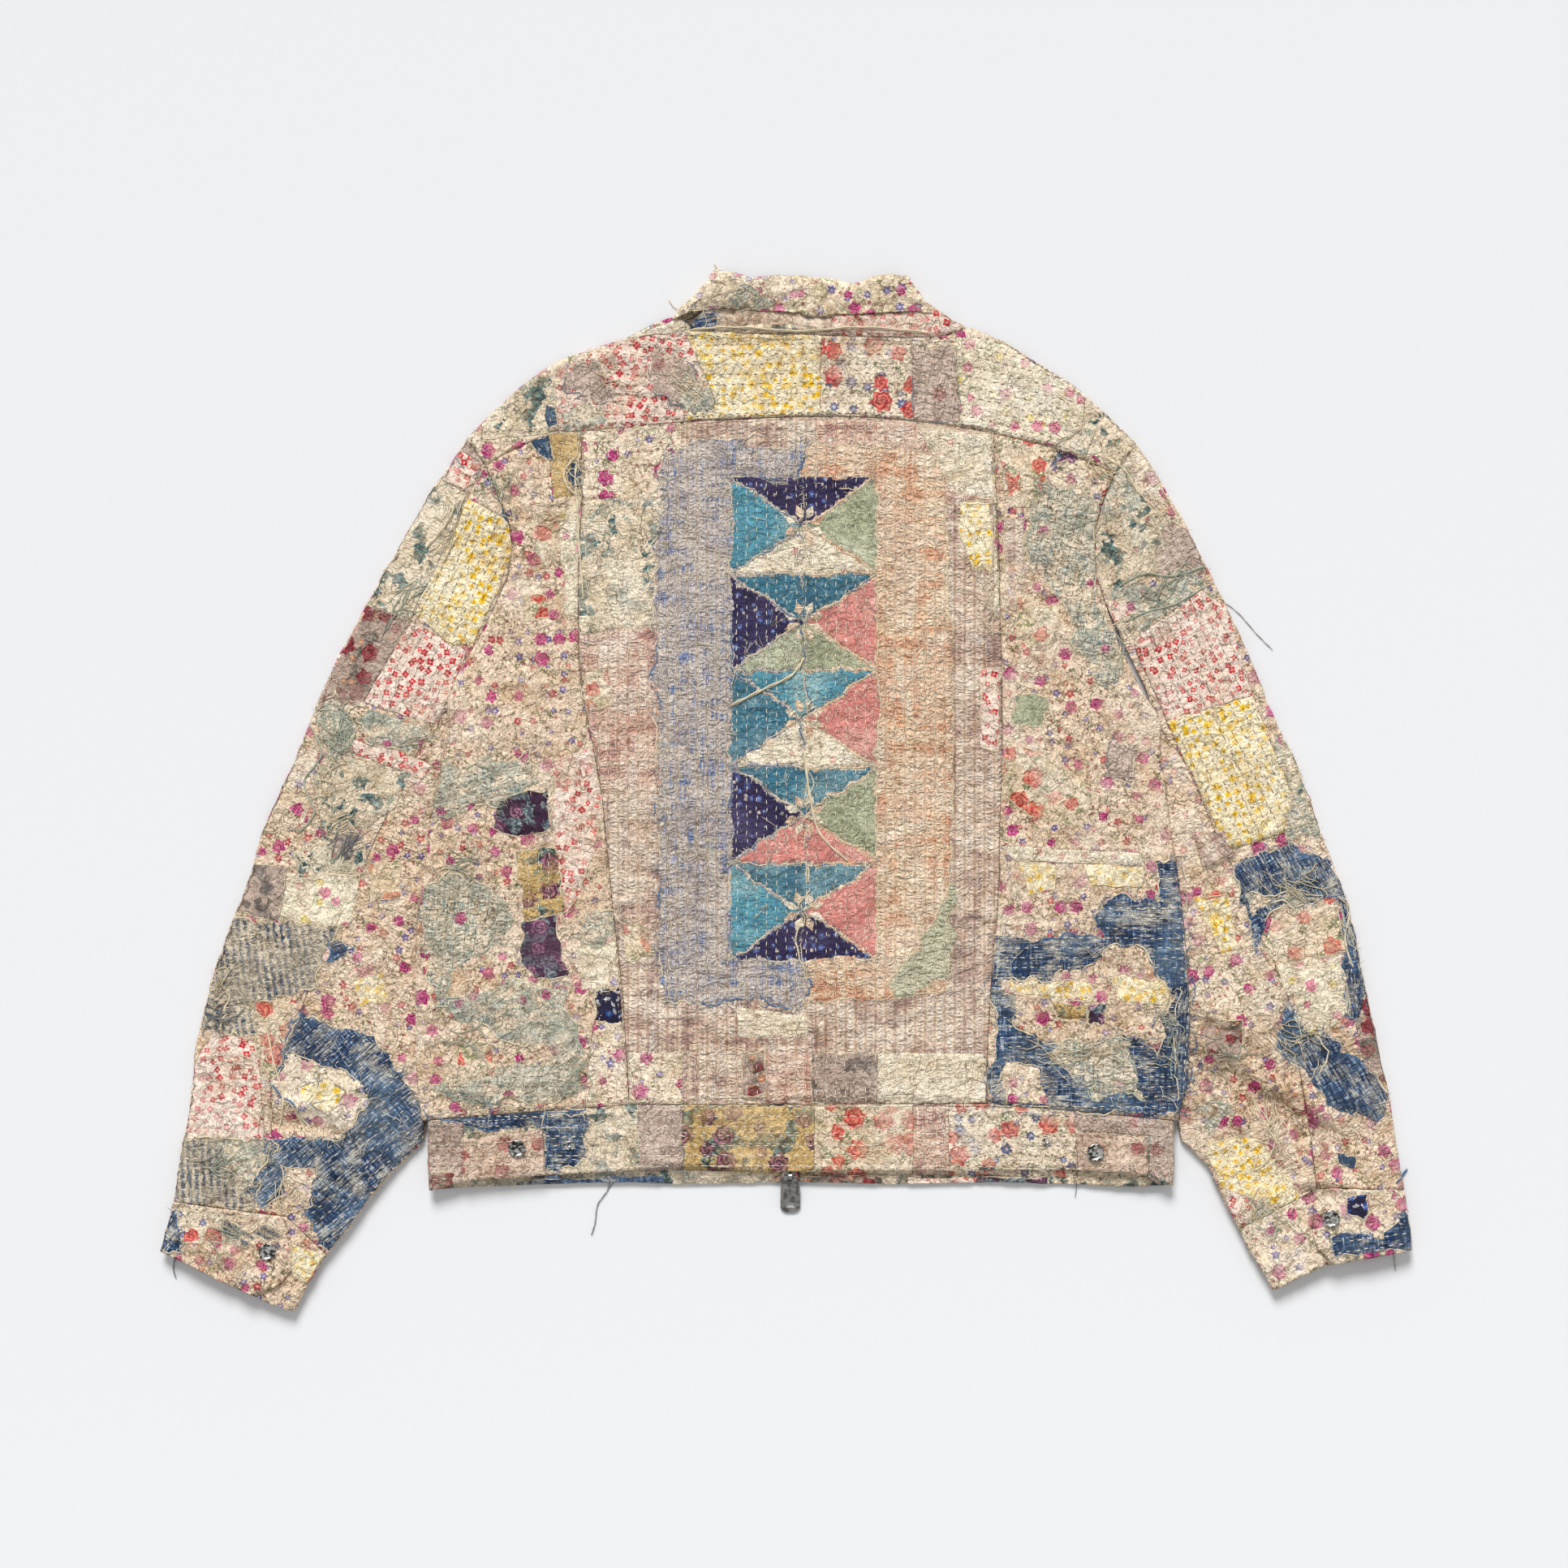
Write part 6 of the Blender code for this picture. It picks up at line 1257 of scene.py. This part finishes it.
for line, aside, shade, length, pitch in rowsOfStitches:  # length of a stitch and pitch in mm
    for (x0, y0), (x1, y1) in zip(line, line[1:]):
        run = math.hypot(x1 - x0, y1 - y0)
        u, v = (x1 - x0) / run, (y1 - y0) / run
        for k in range(int(run / pitch)):
            d = (k + 0.5) * pitch
            addStitch(shade, x0 + u * d - v * aside, y0 + v * d + u * aside,
                      math.atan2(v, u) + dice.gauss(0, 0.05), length, 0.3)


sag = 1.2 * mm  # how far a loose end drops at each step past the edge of the cloth


def layStrand(shade, x, y, heading, length, wander, radius, steps=4, lift=0.35, rise=0.0):  # mm
    path, hanging = [], 0
    for k in range(steps):
        z = heightOn(surface, x * mm, y * mm)
        if z is None and not path:
            return
        if z is None:
            hanging += 1
            if hanging > 2:
                break
            z = max(path[-1][2] - sag, radius * mm)
        path.append((x * mm, y * mm, z + (lift + rise * math.sin(math.pi * k / (steps - 1))) * mm))
        heading += dice.gauss(0, wander)
        x, y = x + math.cos(heading) * length / steps, y + math.sin(heading) * length / steps
    if len(path) > 1:
        addStrand(shade, path, radius * mm)


for patch in sewn:  # turned edges felled with dark thread, or ragged rims rolled on themselves
    edge = patch["edge"] + patch["edge"][:1]
    if patch["fray"] <= 0.2 and patch["quilt"] != "back_centre":
        for k in range(0, len(edge) - 2, 2):
            if dice.random() < 0.86:
                path = pathOver([(x, y, 0.1) for x, y in edge[k:k + 3]])
                if len(path) > 1:
                    addStrand("darkThread", path, 0.26 * mm)
    elif patch["fray"] >= 0.3:
        k = dice.randint(0, 4)
        while k < len(edge) - 4:
            run = dice.randint(4, 14)
            thick = dice.uniform(0.35, 0.35 + 0.45 * patch["fray"])
            path = pathOver([(x, y, 0.4 * thick) for x, y in edge[k:k + run]])
            if len(path) > 3:
                shade = dice.choice(["ecruYarn", "ecruYarn", fringeOf.get(patch["cloth"], "ecruYarn")])
                addStrand(shade, path, thick * mm, 4)
            k += run + dice.randint(1, 7)
for patch in sewn:  # ravelled edges
    if patch["fray"] < 0.15:
        continue
    edge, shade = patch["edge"], fringeOf.get(patch["cloth"], "ecruYarn")
    spin = sum(a[0] * b[1] - b[0] * a[1] for a, b in zip(edge, edge[1:] + edge[:1]))  # which way round
    for (x0, y0), (x1, y1) in zip(edge, edge[1:] + edge[:1]):
        if dice.random() < 0.25 + patch["fray"]:
            t = dice.random()
            heading = math.atan2(y1 - y0, x1 - x0) - math.copysign(math.pi / 2, spin)
            heading += dice.gauss(0, 0.6) + (math.pi if dice.random() < 0.2 else 0)
            x, y = x0 + (x1 - x0) * t, y0 + (y1 - y0) * t
            mixed = shade if dice.random() < 0.6 else dice.choice(["ecruYarn", "whiteThread", shade])
            layStrand(mixed, x - math.cos(heading), y - math.sin(heading), heading,
                      dice.uniform(3, 5 + 7 * patch["fray"]), 0.4, dice.uniform(0.14, 0.26), 4, 0.3,
                      dice.uniform(0, 0.8))
for patch in sewn:  # bared threads across the worn cloths
    if patch["cloth"] not in ("sageGauze", "ticking", "denimTwill", "lavenderGauze", "mauveCloth"):
        continue
    ex, ey = np.array(patch["edge"]).T
    size = (ex.max() - ex.min()) * (ey.max() - ey.min())
    bundles = int(size * patch["fray"] / (260 if patch["cloth"] == "sageGauze" else 620))
    for _ in range(bundles):
        x, y = dice.uniform(ex.min(), ex.max()), dice.uniform(ey.min(), ey.max())
        if not insideOf(patch["edge"], np.array([x]), np.array([y]))[0]:
            continue
        heading = math.radians(patch["grain"]) + (math.pi / 2 if dice.random() < 0.35 else 0)
        heading += dice.gauss(0, 0.25)
        for _ in range(dice.randint(1, 4)):
            shade = dice.choice(["whiteThread", "blueYarn"] if patch["cloth"] == "denimTwill"
                                else ["ecruYarn", "sageYarn", "whiteThread"])
            layStrand(shade, x, y, heading + dice.gauss(0, 0.12), dice.uniform(8, 24), 0.22,
                      dice.uniform(0.14, 0.25), 6, 0.35, dice.uniform(0, 1.2))
            x, y = x + dice.gauss(0, 1.2), y + dice.gauss(0, 1.2)

# Twisted yarn left hanging or lying: shade, points in mm, radius in mm
looseYarn = [
    ("greyYarn", "-139,-304 -141,-316 -149,-328 -151,-342 -154,-352", 0.5),
    ("greyYarn", "-141,-316 -135,-309 -128,-302", 0.4),
    ("greyYarn", "226,-304 229,-312 228,-322", 0.35),
    ("darkThread", "342,150 356,140 372,122 384,110", 0.3),
    ("greyYarn", "-482,-368 -484,-378 -482,-386", 0.6),
    ("sageYarn", "478,-362 480,-370 481,-380", 0.6),
    ("ecruYarn", "-56,403 -54,409 -57,415", 0.5),
    ("ecruYarn", "-86,379 -90,382 -93,387", 0.4),
    ("blueYarn", "480,-310 486,-304 490,-300 486,-306", 0.7),
    ("ecruYarn", "-44,66 -20,78 4,90 14,104", 1.2),
    ("ecruYarn", "14,30 18,-2 26,-34 48,-56", 1.0),
    ("ecruYarn", "-284,190 -270,206 -262,222 -268,232", 0.9),
    ("sageYarn", "-376,52 -366,28 -380,6 -372,-18 -384,-34", 0.8),
    ("sageYarn", "-352,62 -340,44 -352,30 -366,44", 0.8),
    ("ecruYarn", "-410,-184 -404,-214 -396,-244 -400,-268", 0.8),
    ("ecruYarn", "-160,270 -166,252 -165,226 -163,190 -160,150", 0.8),
    ("ecruYarn", "-166,262 -175,250 -172,238 -164,232", 0.9),
    ("ecruYarn", "372,-250 384,-270 380,-290 368,-300 372,-286", 0.6),
    ("ecruYarn", "368,-244 376,-262 388,-282 382,-296", 0.5),
    ("ecruYarn", "434,-84 444,-92 440,-118 446,-140", 0.7),
    ("ecruYarn", "-76,362 -40,364 10,361 60,364 110,360", 1.0),
    ("sageYarn", "262,160 282,170 304,168 330,176", 0.8),
    ("sageYarn", "266,132 284,140 306,146 330,160", 0.7),
    ("ecruYarn", "250,262 266,252 276,236 290,222", 0.9),
]


def smoothPath(points, parts=7):  # Catmull-Rom through the points
    out, ends = [], [points[0], *points, points[-1]]
    for a, b, c, d in zip(ends, ends[1:], ends[2:], ends[3:]):
        for k in range(parts):
            t = k / parts
            out.append(tuple(0.5 * (2 * q + (r - p) * t + (2 * p - 5 * q + 4 * r - s) * t * t
                                    + (3 * q - p - 3 * r + s) * t ** 3)
                             for p, q, r, s in zip(a, b, c, d)))
    return out + [tuple(points[-1])]


for shade, points, radius in looseYarn:
    for ply in range(2):  # two plies twisted round each other
        path = []
        for k, (x, y) in enumerate(smoothPath(pointsOf(points))):
            z = heightOn(surface, x * mm, y * mm)
            z = (0.4 * mm if z is None else z) + radius * mm
            a = k * 0.9 + math.pi * ply
            path.append((x * mm + 0.5 * radius * mm * math.cos(a), y * mm + 0.5 * radius * mm * math.sin(a),
                         max(z, radius * mm) + 0.5 * radius * mm * math.sin(a)))
        addStrand(shade, path, radius * 0.62 * mm, 5)

# Bundles of ravelled yarn: shade, middle, spread across and along in mm, lie in degrees, how many
tangles = [
    ("sageYarn", -354, 50, 8, 20, 110, 30), ("ecruYarn", -364, 10, 7, 26, 95, 18),
    ("ecruYarn", -350, -28, 9, 4, 10, 16), ("greyYarn", -345, -40, 8, 8, 60, 16),
    ("ecruYarn", -264, 206, 7, 24, 70, 16), ("sageYarn", -300, 150, 7, 24, 60, 14),
    ("sageYarn", -228, 240, 8, 12, 100, 12), ("ecruYarn", -446, -150, 6, 24, 72, 20),
    ("greyYarn", -442, -180, 9, 5, 20, 12), ("sageYarn", -444, -292, 14, 9, 20, 22),
    ("ecruYarn", -408, -240, 5, 34, 92, 20), ("ecruYarn", -396, -320, 9, 14, 60, 12),
    ("sageYarn", -440, -352, 16, 6, -20, 14), ("ecruYarn", 378, -262, 10, 26, 110, 30),
    ("ecruYarn", 448, -104, 5, 26, 100, 16), ("sageYarn", 300, 156, 8, 26, 20, 20),
    ("ecruYarn", 400, -74, 8, 24, -5, 20), ("ecruYarn", 400, -196, 9, 18, -20, 22),
    ("sageYarn", 352, -210, 8, 24, -20, 18), ("ecruYarn", 232, -208, 6, 40, 0, 26),
    ("sageYarn", 300, -190, 6, 34, 92, 18), ("ecruYarn", -140, 330, 10, 16, 30, 14),
    ("ecruYarn", -84, 318, 8, 14, -40, 12), ("ecruYarn", -50, 392, 8, 12, 20, 12),
    ("ecruYarn", -162, 246, 4, 26, 92, 16), ("ecruYarn", -180, 216, 12, 8, 20, 12),
    ("sageYarn", -170, -226, 6, 20, 60, 12), ("sageYarn", -250, -60, 10, 22, 0, 16),
    ("sageYarn", -248, -196, 8, 26, 0, 18), ("ecruYarn", 366, -332, 8, 12, 60, 14),
    ("ecruYarn", 250, 250, 7, 12, -40, 12), ("ecruYarn", 160, 150, 5, 40, 95, 18),
]
for shade, x0, y0, wide, tall, lie, count in tangles:
    lie = math.radians(lie)
    for _ in range(count):
        u, v = dice.gauss(0, tall * 0.5), dice.gauss(0, wide * 0.6)
        heading, length = lie + dice.gauss(0, 0.25), dice.uniform(12, 34)
        x = x0 + u * math.cos(lie) - v * math.sin(lie) - 0.5 * length * math.cos(heading)
        y = y0 + u * math.sin(lie) + v * math.cos(lie) - 0.5 * length * math.sin(heading)
        layStrand(shade, x, y, heading, length, dice.choice([0.2, 0.25, 0.55]), dice.uniform(0.22, 0.5), 9,
                  0.5, dice.uniform(0.3, 1.8))

strandPieces = {}
for shade, store in strands.items():
    mesh = bpy.data.meshes.new("strands_" + shade)
    mesh.from_pydata(store["corners"], [], store["faces"])
    mesh.materials.append(threads[shade])
    strandPieces[shade] = linkPiece("strands_" + shade, mesh)
print("threads:", {name: len(piece.data.polygons) for name, piece in strandPieces.items()})

# The slider, the pull and the zip tapes keep their own form
for name in ("zip_slider", "zip_pull"):
    nodes[name].data.materials.clear()
    nodes[name].data.materials.append(nickel)
for name in ("zip_tape_left", "zip_tape_right"):
    nodes[name].data.materials.clear()
    nodes[name].data.materials.append(tape)

# radius and height of a pressed cap, as shares of its size, from the middle out
capProfile = [(0, 0.86), (0.30, 0.84), (0.52, 0.80), (0.60, 0.74), (0.66, 0.78), (0.74, 0.92), (0.86, 1.0),
              (0.95, 0.92), (1.0, 0.66), (0.98, 0.3), (0.9, 0.0), (0.0, 0.0)]
socketProfile = [(0, 0.45), (0.26, 0.45), (0.30, 0.9), (0.42, 1.0), (0.52, 0.92), (0.58, 0.5),
                 (0.78, 0.45), (0.88, 0.62), (1.0, 0.5), (1.0, 0.0), (0.0, 0.0)]
capHeight = 2.6 * mm  # the most a snap cap stands up


def turnSnap(name, profile, sides=48):
    low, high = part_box(name)
    middle, radius = (low + high) / 2, (high.x - low.x) / 2
    tall = min(high.z - low.z, capHeight)
    bm = bmesh.new()
    rings = []
    for share, rise in profile:
        ring = []
        for k in range(sides if share else 1):
            a = 2 * math.pi * k / sides
            dent = 0.0
            if 0.2 < share < 0.6 and profile is capProfile:  # a plain pressed pattern, no lettering
                dent = 0.10 * math.sin(a * 6) * (0.6 - share)
            ring.append(bm.verts.new((middle.x + radius * share * math.cos(a),
                                      middle.y + radius * share * math.sin(a),
                                      high.z - tall + tall * (rise + dent))))
        rings.append(ring)
    for inner, outer in zip(rings, rings[1:]):
        for k in range(sides):
            a, b = outer[k % len(outer)], outer[(k + 1) % len(outer)]
            c, d = inner[(k + 1) % len(inner)], inner[k % len(inner)]
            corners = [v for n, v in enumerate((a, b, c, d)) if v not in (a, b, c, d)[:n]]
            if len(corners) > 2:
                bm.faces.new(corners)
    bmesh.ops.recalc_face_normals(bm, faces=bm.faces)
    mesh = bpy.data.meshes.new(name)
    bm.to_mesh(mesh)
    bm.free()
    mesh.materials.append(pressedNickel)
    piece = linkPiece("turned_" + name, mesh)
    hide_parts(name)
    return piece


for name in ("waist_snap_left", "waist_snap_right", "cuff_snap_left", "cuff_snap_right"):
    turnSnap(name, capProfile)
for name in ("spare_snap_left", "spare_snap_right"):
    turnSnap(name, socketProfile)
print("snaps turned")

# Floor, light and camera
floorMesh = bpy.data.meshes.new("floor")
under = -0.3 * mm  # just below the cloth, so that no two faces share a plane
farOut = 6  # metres, well past what the camera sees
floorMesh.from_pydata([(-farOut, -farOut, under), (farOut, -farOut, under), (farOut, farOut, under),
                       (-farOut, farOut, under)], [], [(0, 1, 2, 3)])
floor = bpy.data.objects.new("floor", floorMesh)
bpy.context.scene.collection.objects.link(floor)
paper, tree = newMaterial("paleBoard")  # matt painted board
finishMaterial(tree, add(tree, "BsdfDiffuse", links={"Color": hexColour("E6E7E9"), "Roughness": 0.2}))
floorMesh.materials.append(paper)

world = bpy.data.worlds.new("studio")
bpy.context.scene.world = world
world.use_nodes = True
sky = world.node_tree.nodes["Background"].inputs
sky["Color"].default_value = (1, 1, 1, 1)
sky["Strength"].default_value = 0.5

# a large softbox far off, so that it lights the whole floor evenly
key = bpy.data.objects.new("key", bpy.data.lights.new("key", "SUN"))
key.data.angle = math.radians(24)
key.data.energy = 2.95
key.rotation_euler = Vector((-0.12, 0.8, 0.72)).to_track_quat("Z", "Y").to_euler()
bpy.context.scene.collection.objects.link(key)

camera = bpy.data.objects.new("camera", bpy.data.cameras.new("camera"))
camera.data.sensor_width = 36
camera.data.lens = 87.2
camera.location = (-0.0019, 0.0043, 3.0)
camera.rotation_euler = (0, 0, 0)
bpy.context.scene.collection.objects.link(camera)
bpy.context.scene.camera = camera
bpy.context.scene.view_settings.view_transform = "Standard"
